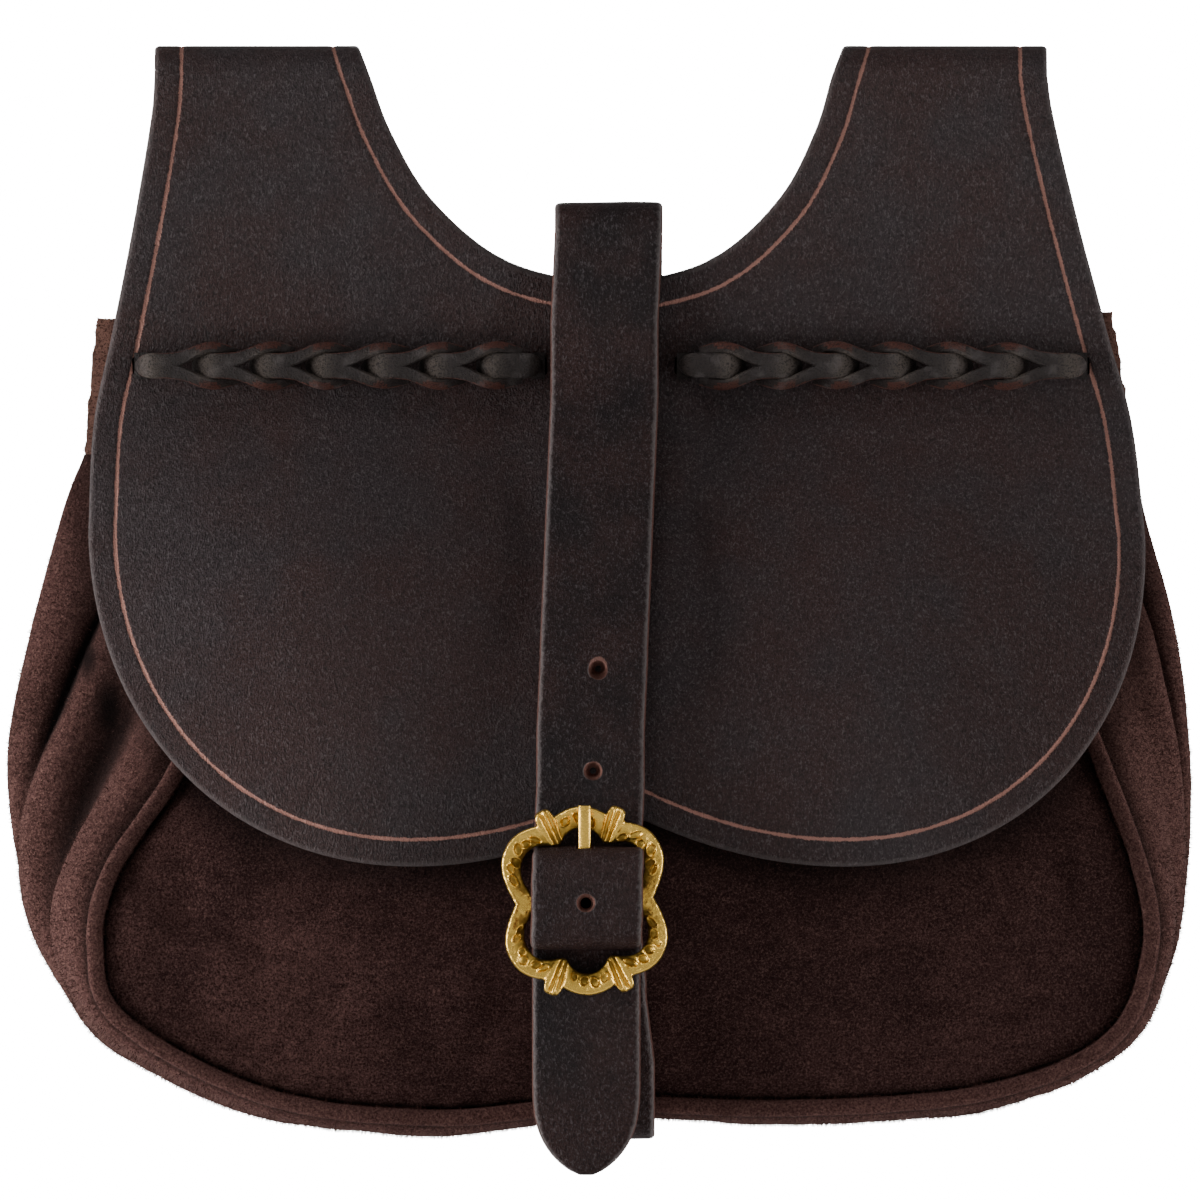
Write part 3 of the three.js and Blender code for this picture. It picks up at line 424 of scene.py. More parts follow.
HEAD_TURN, HEAD_AT, HEAD_REACH, HEAD_TALL, HEAD_FROM, HEAD_OVER = 0.1, 0.16, 0.2, 4, 1.2, 1.5
LACE_LEG = rows(
    "along across half top roll",
    (-0.1, 0.35, 0.45, 0.2, 0),
    (-0.05, 0.8, 0.95, 1.5, 0),
    (0.02, 1.1, 1.32, 2.6, 0),
    (0.1, 1.22, 1.6, 3.35, 0),
    (0.2, 1.25, 1.76, 3.75, 0),
    (0.46, 1.3, 1.75, 3.75, 0),
    (0.66, 1.62, 1.68, 3.7, 2),
    (0.76, 1.95, 1.62, 3.7, 6),
    (0.86, 2.5, 1.58, 3.7, 14),
    (1.0, 3.3, 1.55, 3.7, 28),
    (1.12, 3.9, 1.5, 3.5, 37),
    (1.3, 4.3, 1.48, 2.9, 40),
    (1.5, 3.95, 1.35, 2.1, 26),
    (1.72, 3.2, 1.2, 1.2, 8),
)
LACE_LAST = rows(
    "along across half top roll",
    (-0.1, 0, 0.8, 0.2, 0),
    (-0.05, 0, 1.75, 1.5, 0),
    (0.02, 0, 2.42, 2.6, 0),
    (0.1, 0, 2.82, 3.35, 0),
    (0.2, 0, 3.02, 3.7, 0),
    (0.44, 0, 3.0, 3.3, 0),
    (0.6, 0, 3.0, 2.9, 0),
    (0.78, 0, 3.0, 2.9, 0),
    (0.9, 0, 2.75, 2.5, 0),
    (0.98, 0, 2.2, 1.8, 0),
    (1.04, 0, 1.5, 1.0, 0),
    (1.08, 0, 0.7, 0.2, 0),
)

# Softboxes in metres and watts, the place that they face, how bright the room is, the camera's framing in
# millimetres, and the nearest and furthest places that it sees, in metres
SOFTBOXES = rows(
    "x y z width height watts",
    (-1.9, -0.28, -0.3, 0.9, 1.3, 72),
    (1.9, -0.28, -0.25, 0.9, 1.3, 34),
    (-0.9, -0.6, 1.9, 1.2, 0.8, 16),
    (0.0, 1.9, 0.1, 1.8, 1.0, 34),
)
LIGHT_AIM = (0, 0, -0.13)
ROOM_SEEN, ROOM_MIRRORED, ROOM_DIM = 20, 0.42, 0.05
FRAME_WIDTH, FRAME_X, FRAME_Z, FRAME_DEPTH = 283.8, -1.66, -128.5, 25
CAMERA_DISTANCE, SENSOR_WIDTH = 9000, 36
CLIP_START, CLIP_END = 0.1, 20

# Points of a loft that are nearer than this are one point
WELD = 0.002

# How far apart the noises of two seeds lie, and what turns a screen's colours into a shader's
NOISE_SHIFT = (17.3, 5.1, 9.7)
SCREEN_WHITE, SCREEN_GAMMA = 255, 2.2


def colour(red, green, blue):
    """A colour given as it looks on a screen, from 0 to 255, as the linear values that a shader takes."""
    return tuple((channel / SCREEN_WHITE) ** SCREEN_GAMMA for channel in (red, green, blue))


def size(name, description, millimetres):
    return FloatProperty(
        name=name,
        description=description,
        default=millimetres * MM,
        min=0,
        unit="LENGTH",
        subtype="DISTANCE",
    )


def shade(name, description, red, green, blue):
    return FloatVectorProperty(
        name=name,
        description=description,
        default=colour(red, green, blue),
        min=0,
        max=1,
        size=3,
        subtype="COLOR",
    )


class BeltBagSizes(bpy.types.PropertyGroup):
    """Stock and tooling sizes of the bag"""

    flap_thick: size("Flap thickness", "Thickness of the flap's leather", FLAP_THICK)
    strap_thick: size("Strap thickness", "Thickness of the strap's leather", 3)
    suede_thick: size("Suede thickness", "Thickness of the pouch's suede", 1.6)
    groove_inset: size("Groove inset", "Distance of the tooled line from the flap's edge", 6.4)
    groove_width: size("Groove width", "Width of the tooled line", 1.05)
    groove_depth: size("Groove depth", "Depth of the tooled line", 0.25)
    edge_round: size("Edge rounding", "How far the leather's edges are rounded", 1.1)
    piping_radius: size("Piping radius", "Radius of the corded edge", 2.1)
    floor_drop: size("Floor drop", "Distance of the floor below the loops that the bag hangs from", 560)


class BeltBagColours(bpy.types.PropertyGroup):
    """Colours of the bag's leathers, suede and brass"""

    leather: shade("Leather", "Main colour of the flap", 55, 46, 47)
    leather_warm: shade("Warm leather", "Reddish mottling of the flap", 60, 42, 40)
    leather_dark: shade("Dark leather", "Colour down in the leather's grain", 27, 21, 22)
    leather_light: shade("Light leather", "Rubbed tops of the leather's grain", 106, 99, 101)
    leather_edge: shade("Leather edge", "Burnished cut edges", 120, 112, 111)
    groove: shade("Groove", "Raw leather in the tooled line and the punched holes", 182, 132, 119)
    strap: shade("Strap", "Main colour of the strap", 34, 27, 28)
    strap_cut: shade("Strap edge", "Cut sides of the strap", 92, 62, 55)
    suede: shade("Suede", "Main colour of the pouch", 54, 35, 34)
    # Painted highlight: the gusset's suede is painted lighter than the front's, as lit from the sides
    suede_gusset_lit: shade("Gusset suede", "Main colour of the pouch's sides", 68, 45, 41)
    suede_back: shade("Back suede", "Main colour of the pouch's back", 70, 47, 43)
    suede_piping: shade("Piping suede", "Main colour of the corded edge", 92, 63, 58)
    suede_brushed: shade("Brushed suede", "Nap brushed the light way", 98, 69, 65)
    suede_fibre: shade("Suede fibres", "Single raised fibres that catch the light", 128, 96, 88)
    # Raw suede of the fluffed corners, partly a painted highlight
    suede_raw_lit: shade("Raw suede", "Fluffed corners of the back panel", 166, 122, 108)
    suede_dark: shade("Dark suede", "Nap brushed the dark way", 33, 19, 17)
    # Painted shade laid on the suede in its creases, beside its seams and under the flap
    suede_painted_shade: shade("Suede painted shade", "Painted shade on the suede in its creases and under the flap", 12, 7, 6)
    thong: shade("Thong", "Faces of the braided lacing", 48, 41, 39)
    thong_head: shade("Thong head", "Stretched leather on the heads of the braid", 84, 75, 69)
    thong_cut: shade("Thong edge", "Cut edges of the braided lacing", 84, 50, 42)
    brass: shade("Brass", "Worn high places of the buckle", 246, 199, 96)
    brass_dark: shade("Dark brass", "Tarnish down in the buckle's relief", 90, 65, 20)
    # Painted shade on the buckle's bar and round it behind the strap
    bar_shade: shade("Bar shade", "Painted shade on the bar and round it behind the strap", 20, 15, 9)
    floor: shade("Floor", "The plain floor", 240, 240, 240)


def mix(low, high, share):
    return low + (high - low) * share


def read(table, key, name, value):
    """A column of a table at a value of its key column, along a smooth curve through the rows."""
    order = np.argsort(table[key])
    place, height = table[key][order], table[name][order]
    index = np.arange(len(place))
    before, after = np.maximum(index - 1, 0), np.minimum(index + 1, len(place) - 1)
    slope = (height[after] - height[before]) / (place[after] - place[before])
    at = np.clip(value, place[0], place[-1])
    low = np.clip(np.searchsorted(place, at) - 1, 0, len(place) - 2)
    span = place[low + 1] - place[low]
    t = (at - place[low]) / span
    start = (1 + 2 * t) * (1 - t) ** 2 * height[low] + t * (1 - t) ** 2 * span * slope[low]
    end = t**2 * (3 - 2 * t) * height[low + 1] + t**2 * (t - 1) * span * slope[low + 1]
    return start + end


def read_all(table, key, names, value):
    """Several columns of a table, named in one string, each as read gives it."""
    return [read(table, key, name, value) for name in names.split()]


def squarish(angle, power):
    """Places round a closed section between a square and a circle; the lower the power, the squarer."""
    return (np.sign(side) * np.abs(side) ** power for side in (np.cos(angle), np.sin(angle)))


def spots(x, depth, z):
    """Points at the given places across, in front of the origin and up, as rows of x, y and z."""
    return np.stack(np.broadcast_arrays(x, -np.asarray(depth), z), axis=-1).astype(float)


def evenly(points, step):
    """The same path with its points spread evenly, about a step apart."""
    lengths = np.linalg.norm(np.diff(points, axis=0), axis=1)
    travelled = np.concatenate([[0], np.cumsum(lengths)])
    places = np.linspace(0, travelled[-1], max(2, round(travelled[-1] / step) + 1))
    return np.stack([np.interp(places, travelled, column) for column in points.T], axis=-1)


def lumps(points, spacing, seed):
    """A soft swell from -1 to 1 at each point, with the swells about a spacing apart."""
    shift = Vector(NOISE_SHIFT) * seed
    return np.array([noise.noise(Vector(point) / spacing + shift) for point in points])


def swells(points, name):
    """The sum of a surface's soft swells at each point."""
    return sum(high * lumps(points, spacing, seed) for high, spacing, seed in SWELLS[name])


def tree_of(points):
    """A tree that finds the nearest of some points."""
    tree = KDTree(len(points))
    for index, point in enumerate(points):
        tree.insert(point, index)
    tree.balance()
    return tree


def creased(table, x, z):
    """How deep the short creases of a table are at each place."""
    deep = np.zeros_like(x)
    for row in zip(*(table[name] for name in ("x", "z", "run_x", "run_z", "length", "width", "deep"))):
        middle_x, middle_z, run_x, run_z, length, width, depth = row
        run = math.hypot(run_x, run_z)
        along = ((x - middle_x) * run_x + (z - middle_z) * run_z) / run
        bow = CREASE_BOW * length * (2 * along / length) ** 2
        aside = ((z - middle_z) * run_x - (x - middle_x) * run_z) / run - bow
        deep += depth * np.exp(-((aside / width) ** 2)) * np.exp(-((2 * along / length) ** 4))
    return deep


def deselect_all():
    if bpy.context.object and bpy.context.object.mode != "OBJECT":
        bpy.ops.object.mode_set(mode="OBJECT")
    bpy.ops.object.select_all(action="DESELECT")


def choose(piece):
    deselect_all()
    piece.select_set(True)
    bpy.context.view_layer.objects.active = piece


def points_of(piece):
    points = np.empty(len(piece.data.vertices) * 3)
    piece.data.vertices.foreach_get("co", points)
    return points.reshape(-1, 3)


def move_points(piece, points):
    piece.data.vertices.foreach_set("co", np.ascontiguousarray(points).ravel())
    piece.data.update()


def normals_of(piece):
    normals = np.empty(len(piece.data.vertices) * 3)
    piece.data.vertex_normals.foreach_get("vector", normals)
    return normals.reshape(-1, 3)


def keep(piece, name, values):
    """Stores a number for each point of a piece, for its material to read."""
    attribute = piece.data.attributes.new(name, "FLOAT", "POINT")
    attribute.data.foreach_set("value", np.ascontiguousarray(values, dtype=np.float32))


def kept(piece, name):
    """The numbers that were stored for the points of a piece."""
    values = np.empty(len(piece.data.vertices), np.float32)
    piece.data.attributes[name].data.foreach_get("value", values)
    return values


def carry(piece, name, places, values):
    """Stores on each point of a piece the value of the place that it was made from."""
    tree = tree_of(places.reshape(-1, 3))
    flat = np.ravel(values)
    keep(piece, name, [flat[tree.find(point)[1]] for point in points_of(piece) / MM])


def apply(piece, modifier):
    choose(piece)
    bpy.ops.object.modifier_apply(modifier=modifier.name)


def grid_piece(name, first, second, place):
    """A primitive grid moved to a surface given by two shares; the first way times the second faces out."""
    deselect_all()
    bpy.ops.mesh.primitive_grid_add(x_subdivisions=first, y_subdivisions=second, size=2)
    piece = bpy.context.object
    piece.name = piece.data.name = name
    shares = (points_of(piece)[:, :2] + 1) / 2
    move_points(piece, place(shares[:, 0], shares[:, 1]) * MM)
    return piece


def loft_piece(name, rings, closed=False):
    """A solid through rings of points: a grid wrapped round them, welded, and capped unless it closes."""
    count, corners = rings.shape[:2]
    ring_steps = count if closed else count - 1

    def place(round_share, along_share):
        corner = np.rint(round_share * corners).astype(int) % corners
        ring = np.rint(along_share * ring_steps).astype(int) % count
        return rings[ring, corner]

    piece = grid_piece(name, corners, ring_steps, place)
    bpy.ops.object.mode_set(mode="EDIT")
    bpy.ops.mesh.select_all(action="SELECT")
    bpy.ops.mesh.remove_doubles(threshold=WELD * MM)
    if not closed:
        bpy.ops.mesh.fill_holes(sides=0)
    bpy.ops.mesh.select_all(action="SELECT")
    bpy.ops.mesh.normals_make_consistent(inside=False)
    bpy.ops.object.mode_set(mode="OBJECT")
    return piece


def thicken(piece, thickness, outer_relief, inner_relief):
    """Gives an open sheet its wall inwards, then raises the relief on its outer and its inner face."""
    count = len(piece.data.vertices)
    normals = normals_of(piece)
    wall = piece.modifiers.new("wall", "SOLIDIFY")
    wall.thickness = thickness
    wall.offset = -1
    apply(piece, wall)
    points = points_of(piece)
    points[:count] += normals * np.reshape(outer_relief, (-1, 1)) * MM
    points[count : 2 * count] -= normals * np.reshape(inner_relief, (-1, 1)) * MM
    move_points(piece, points)


def flat_cut(net):
    """Width, length and area of the flat piece that a net of places was cut as."""
    across, along = np.diff(net, axis=1), np.diff(net, axis=0)
    width = np.linalg.norm(across, axis=2).sum(axis=1).max()
    length = np.linalg.norm(along, axis=2).sum(axis=0).max()
    area = np.linalg.norm(np.cross(across[:-1], along[:, :-1]), axis=2).sum()
    return (width * MM, length * MM), area * MM**2


def raise_nap(piece, faces, count, material):
    """Loose fibres that stand on the first faces of a suede piece, each of them a slim closed spike."""
    piece.data.calc_loop_triangles()
    triangles = piece.data.loop_triangles
    owners, corners = np.empty(len(triangles), int), np.empty(3 * len(triangles), int)
    triangles.foreach_get("polygon_index", owners)
    triangles.foreach_get("vertices", corners)
    corners = corners.reshape(-1, 3)[owners < faces]
    places = points_of(piece)[corners] / MM
    upright = np.cross(places[:, 1] - places[:, 0], places[:, 2] - places[:, 0])
    areas = np.linalg.norm(upright, axis=1)
    bare = np.clip(kept(piece, "painted_shade")[corners].mean(axis=1), 0, 1)
    fluffed = np.clip(kept(piece, "brushed")[corners].mean(axis=1), 0, 2)
    chance = areas * (1 - bare) * (NAP_FLAT + fluffed)
    picker = np.random.default_rng(count)
    picked = picker.choice(len(areas), count, p=chance / chance.sum())
    roots = np.einsum("nk,nkx->nx", picker.dirichlet((1, 1, 1), count), places[picked])
    upright = upright[picked] / areas[picked][:, None]
    astray = picker.normal(size=(count, 3))
    way = upright + NAP_LEAN * astray
    way /= np.linalg.norm(way, axis=1)[:, None]
    side = np.cross(way, astray)
    side *= NAP_RADIUS / np.linalg.norm(side, axis=1)[:, None]
    tips = roots + way * NAP_LENGTH * picker.uniform(*NAP_RANGE, (count, 1))
    feet = roots - upright * NAP_RADIUS
    spikes = np.stack([feet + side, feet + np.cross(way, side), feet - side, tips], axis=1)
    faces_each = np.array(((0, 1, 2), (1, 0, 3), (2, 1, 3), (0, 2, 3)))
    spike_faces = 4 * np.arange(count)[:, None, None] + faces_each
    mesh = bpy.data.meshes.new(piece.name + "_nap")
    mesh.from_pydata(spikes.reshape(-1, 3) * MM, [], spike_faces.reshape(-1, 3))
    nap = bpy.data.objects.new(mesh.name, mesh)
    bpy.context.collection.objects.link(nap)
    mesh.materials.append(material)
    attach(nap, BODY)
    return nap


def combine(piece, tools, operation):
    """Joins tools to a piece or cuts them out of it, and deletes them."""
    for tool in tools:
        step = piece.modifiers.new(operation.lower(), "BOOLEAN")
        step.operation = operation
        step.solver = "EXACT"
        step.object = tool
        apply(piece, step)
        bpy.data.objects.remove(tool)


def box_tool(wide, deep, tall, x, depth, z):
    deselect_all()
    middle, sides = spots(x, depth, z) * MM, np.array((wide, deep, tall)) * MM
    bpy.ops.mesh.primitive_cube_add(size=1, location=middle, scale=sides)
    return bpy.context.object


def bar_tool(radius, length, sides):
    """A rod along the line of the buckle's bar."""
    deselect_all()
    bpy.ops.mesh.primitive_cylinder_add(
        vertices=sides,
        radius=radius * MM,
        depth=length * MM,
        location=spots(BUCKLE_X, BAR_DEPTH, BUCKLE_Z) * MM,
        rotation=(0, math.pi / 2, 0),
    )
    return bpy.context.object


def punch_tool(radius, inner, thick, x, depth, z):
    """A punch with one radius at the front of a strap and another at its back, which goes on past both."""
    spread = 0.5 * (radius - inner)
    deselect_all()
    bpy.ops.mesh.primitive_cone_add(
        vertices=ROUND_SIDES,
        radius1=(inner - spread) * MM,
        radius2=(radius + spread) * MM,
        depth=2 * thick * MM,
        location=spots(x, depth, z) * MM,
        rotation=(math.pi / 2, 0, 0),
    )
    return bpy.context.object


def finish_piece(piece, node, materials, smooth_degrees):
    """Shades a piece, gives it its materials, hides the imported part that it stands for, and attaches it to
    the body.
    """
    choose(piece)
    bpy.ops.object.shade_smooth_by_angle(angle=math.radians(smooth_degrees))
    chosen = [0] * len(piece.data.polygons)
    piece.data.polygons.foreach_get("material_index", chosen)
    piece.data.materials.clear()
    for material in materials:
        piece.data.materials.append(material)
    last = len(materials) - 1
    piece.data.polygons.foreach_set("material_index", [min(index, last) for index in chosen])
    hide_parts(node)
    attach(piece, BODY)


class Signal:
    """An output of a shader node. Arithmetic on it adds Math nodes to the same tree."""

    def __init__(self, tree, socket=None):
        self.tree = tree
        self.socket = socket

    def node(self, kind, settings=None, inputs=None, output=0):
        """Adds a node: its settings first, then the values or links of its sockets."""
        made = self.tree.nodes.new(kind)
        for name, value in (settings or {}).items():
            setattr(made, name, value)
        for name, value in (inputs or {}).items():
            if isinstance(value, Signal):
                self.tree.links.new(value.socket, made.inputs[name])
            else:
                made.inputs[name].default_value = value
        return Signal(self.tree, made.outputs[output])

    def math(self, operation, first, second=0.0):
        return self.node("ShaderNodeMath", {"operation": operation}, {0: first, 1: second})

    def __add__(self, other):
        return self.math("ADD", self, other)

    def __sub__(self, other):
        return self.math("SUBTRACT", self, other)

    def __rsub__(self, other):
        return self.math("SUBTRACT", other, self)

    def __mul__(self, other):
        return self.math("MULTIPLY", self, other)

    def __abs__(self):
        return self.math("ABSOLUTE", self)

    __radd__ = __add__
    __rmul__ = __mul__

    def most(self, other):
        return self.math("MAXIMUM", self, other)

    def ramp(self, low, high):
        """0 up to a low value, 1 from a high one, and a smooth rise between; low may be the greater."""
        ends = {0: self, 1: low, 2: high, 3: 0.0, 4: 1.0}
        return self.node("ShaderNodeMapRange", {"interpolation_type": "SMOOTHSTEP"}, ends)

    def blend(self, first, second):
        """A colour between two others by this share; each of them is a signal or a fixed colour."""
        ends = [end if isinstance(end, Signal) else (*end, 1) for end in (first, second)]
        inputs = {0: self, 6: ends[0], 7: ends[1]}
        return self.node("ShaderNodeMix", {"data_type": "RGBA"}, inputs, output=2)


def surface(name, constants):
    """A new material with the constant settings of its shader, and a start for its nodes."""
    material = bpy.data.materials.new(name)
    material.use_nodes = True
    shader = material.node_tree.nodes["Principled BSDF"]
    for socket, value in constants.items():
        shader.inputs[socket].default_value = value
    return material, shader, Signal(material.node_tree)


def link(start, shader, **signals):
    """Feeds the shader with signals for its colour, roughness and normal."""
    sockets = {"colour": "Base Color", "rough": "Roughness", "normal": "Normal"}
    for name, signal in signals.items():
        start.tree.links.new(signal.socket, shader.inputs[sockets[name]])


def object_mm(start, scale=(1, 1, 1)):
    """Places on the piece in millimetres, stretched by a scale."""
    place = start.node("ShaderNodeTexCoord", output=3)
    stretch = tuple(1 / MM * axis for axis in scale)
    return start.node("ShaderNodeMapping", {}, {"Vector": place, "Scale": stretch})


def speckle(place, scale, detail, roughness, distortion=0.0):
    """Noise from 0 to 1 with the given number of swells in a millimetre."""
    inputs = {"Vector": place, "Scale": scale, "Detail": detail, "Roughness": roughness}
    return place.node("ShaderNodeTexNoise", {}, {**inputs, "Distortion": distortion})


def bump(height, reach, strength):
    """A normal from a height between 0 and 1 that stands for a reach in millimetres."""
    inputs = {"Height": height, "Distance": reach * MM, "Strength": strength}
    return height.node("ShaderNodeBump", {}, inputs)


def attribute(start, name):
    return start.node("ShaderNodeAttribute", {"attribute_name": name}, output=2)


def leather(name, colours, main, gloss, rub, groove=None, holes=()):
    """Vegetable-tanned leather with a fine grain, rubbed edges and raw tooled lines."""
    material, shader, start = surface(name, {"Specular IOR Level": gloss})
    place = object_mm(start)
    drawn = object_mm(start, (1.0, 1.0, 0.62))
    pits = speckle(drawn, 1.5, detail=3, roughness=0.7, distortion=0.5)
    fine = speckle(drawn, 3.0, detail=2, roughness=0.6)
    clouds = speckle(place, 0.022, detail=3, roughness=0.55)
    blotches = speckle(place, 0.09, detail=3, roughness=0.6)
    grain = pits * 0.62 + fine * 0.38
    warm = (clouds * 1.3 + blotches * 0.6 - 0.6).ramp(0.05, 0.6)
    tone = warm.blend(main, colours.leather_warm)
    tone = (grain.ramp(0.5, 0.4) * 0.7).blend(tone, colours.leather_dark)
    tone = (grain.ramp(0.52, 0.64) * 0.45).blend(tone, colours.leather_light)
    edge = attribute(start, "edge")
    scuffs = speckle(place, 0.8, detail=3, roughness=0.6)
    worn = (edge + scuffs * 1.6 - 0.8).ramp(1.5, 0.4) * (scuffs * 0.5 + rub)
    tone = worn.blend(tone, colours.leather_edge)
    rough = grain * 0.35 + blotches * 0.1 + 0.3
    raw = None
    if groove:
        inset, width = groove
        fray = speckle(place, 2.6, detail=3, roughness=0.7)
        thin = speckle(place, 0.35, detail=2, roughness=0.5)
        aside = abs(edge - inset) + (fray - 0.5) * width + (thin - 0.5) * width * 0.5
        raw = aside.ramp(0.5 * width, 0.26 * width) * (fray * 1.3 + 0.3)
    else:
        tone = (edge + scuffs * 0.4).ramp(0.65, 0.35).blend(tone, colours.strap_cut)
    squeeze = (1, 0.4, 1)
    for hole in holes:
        squeezed = place.node("ShaderNodeVectorMath", {"operation": "MULTIPLY"}, {0: place, 1: squeeze})
        ends = {0: squeezed, 1: tuple(np.multiply(hole, squeeze))}
        away = place.node("ShaderNodeVectorMath", {"operation": "DISTANCE"}, ends, output=1)
        rim = (away + scuffs * 0.7).ramp(HOLE_RADIUS + 0.6, HOLE_RADIUS + 0.1) * 0.5
        raw = rim if raw is None else raw.most(rim)
    if raw is not None:
        tone = raw.blend(tone, colours.groove)
        rough = rough + raw * 0.2
    link(start, shader, colour=tone, rough=rough, normal=bump(grain, reach=1.1, strength=1))
    return material


def suede(name, colours, main, brush, light, pitted, fuzz):
    """Napped suede: fine fibres, brushed patches, painted shade in its creases and a soft sheen at grazing
    angles.
    """
    material, shader, start = surface(
        name,
        {
            "Roughness": 0.95,
            "Specular IOR Level": 0.12,
            "Sheen Weight": 0.25,
            "Sheen Roughness": 0.45,
            "Sheen Tint": (*colours.suede_brushed, 1),
        },
    )
    place = object_mm(start)
    fibres = speckle(place, 1.9, detail=4, roughness=0.75, distortion=0.6)
    tufts = speckle(place, 1.1, detail=4, roughness=0.65, distortion=0.8)
    strokes = speckle(object_mm(start, (0.6, 0.6, 1.5)), 0.14, detail=4, roughness=0.6, distortion=0.5)
    patches = speckle(place, 0.03, detail=3, roughness=0.5, distortion=0.4)
    brushed = attribute(start, "brushed")
    nap = (strokes * 0.7 + patches * 1.0 + tufts * 0.25 + brushed * 0.9).ramp(0.8, 1.55)
    tone = (nap * light).blend(main, brush)
    tone = (fibres.ramp(0.52, 0.38) * pitted).blend(tone, colours.suede_dark)
    tone = (fibres.ramp(0.5, 0.66) * fuzz).blend(tone, colours.suede_fibre)
    # Painted shade: the suede is darkened in its creases, beside its seams and under the flap
    tone = attribute(start, "painted_shade").blend(tone, colours.suede_painted_shade)
    link(start, shader, colour=tone, normal=bump(fibres * 0.7 + tufts * 0.5, reach=0.7, strength=1))
    return material


def thong(name, colours, main):
    """Thin lacing leather, smooth on its face, paler where it is stretched and fibrous where it is cut."""
    material, shader, start = surface(name, {"Specular IOR Level": 0.2})
    place = object_mm(start)
    pits = speckle(place, 2.2, detail=4, roughness=0.6)
    blotches = speckle(place, 0.25, detail=3, roughness=0.55)
    tone = attribute(start, "stretched").blend(main, colours.thong_head)
    tone = (pits.ramp(0.52, 0.38) * 0.8).blend(tone, colours.leather_dark)
    tone = (blotches.ramp(0.5, 0.72) * 0.25).blend(tone, colours.leather_edge)
    rough = pits * 0.2 + 0.45
    link(start, shader, colour=tone, rough=rough, normal=bump(pits, reach=0.7, strength=1))
    return material


def cast_brass(name, colours, tarnish):
    """Antique cast brass: bright where it is rubbed, brown down in the relief, with painted shade on the
    bar.
    """
    material, shader, start = surface(name, {"Metallic": 1.0})
    place = object_mm(start)
    sand = speckle(place, 2.4, detail=4, roughness=0.65)
    stain = speckle(place, 0.35, detail=3, roughness=0.6)
    hollow = attribute(start, "hollow")
    dark = (hollow * tarnish + stain * 0.8 + sand * 0.3 - 0.6).ramp(0.0, 1.0)
    tone = dark.blend(colours.brass, colours.brass_dark)
    # Painted shade on the bar and round it behind the strap
    tone = hollow.ramp(1.1, 1.8).blend(tone, colours.bar_shade)
    rough = dark * 0.25 + sand * 0.2 + 0.16
    link(start, shader, colour=tone, rough=rough, normal=bump(sand, reach=0.14, strength=0.7))
    return material


def lean(z):
    return FLAP_SHIFT - FLAP_LEAN * z


def flap_depth(half, z):
    """Depth of the flap's inner face at a distance from its centre line."""
    across = np.abs(half) / LOBE_WIDE_HALF
    beside = np.clip((across - VALLEY) / (1 - VALLEY), 0, 1)
    lobe = read(FLAP_DEPTH, "z", "lobe", z) * np.sin(math.pi * beside) ** 2
    return read(FLAP_DEPTH, "z", "centre", z) + lobe - read(FLAP_DEPTH, "z", "side", z) * across**3


def lobe_edge(share):
    """Lower edge of one lobe from the notch to its widest point."""
    t = np.minimum(share / LOBE_TURN, 1)
    angle = np.clip((share - LOBE_TURN) / (1 - LOBE_TURN), 0, 1) * math.pi / 2
    power = 2 / LOBE_SQUARENESS
    inner_z = LOBE_LOW_Z + (NOTCH_HEIGHT - LOBE_LOW_Z) * (1 - t) ** 2
    half = LOBE_LOW_HALF + (LOBE_WIDE_HALF - LOBE_LOW_HALF) * np.sin(angle) ** power
    outer_z = LOBE_WIDE_Z - (LOBE_WIDE_Z - LOBE_LOW_Z) * np.maximum(np.cos(angle), 0) ** power
    first = share < LOBE_TURN
    return np.where(first, LOBE_LOW_HALF * t, half), np.where(first, inner_z, outer_z)


def round_corner(before, after, leg):
    """Joins two paths that meet at a corner by a curve from a leg before it to a leg after it."""
    first, second = evenly(before, CORNER_STEP), evenly(after, CORNER_STEP)
    cut = round(leg / CORNER_STEP)
    t = np.linspace(0, 1, CORNER_POINTS)[:, None]
    start, corner, end = first[-1 - cut], first[-1], second[cut]
    curve = start * (1 - t) ** 2 + corner * 2 * t * (1 - t) + end * t**2
    return np.concatenate([first[: -1 - cut], curve, second[cut + 1 :]])


def leaf_along(z, fold_length):
    """Place along the flat cut of a height on the back leaf."""
    return FOLD_HEIGHT + fold_length + FOLD_HEIGHT - z


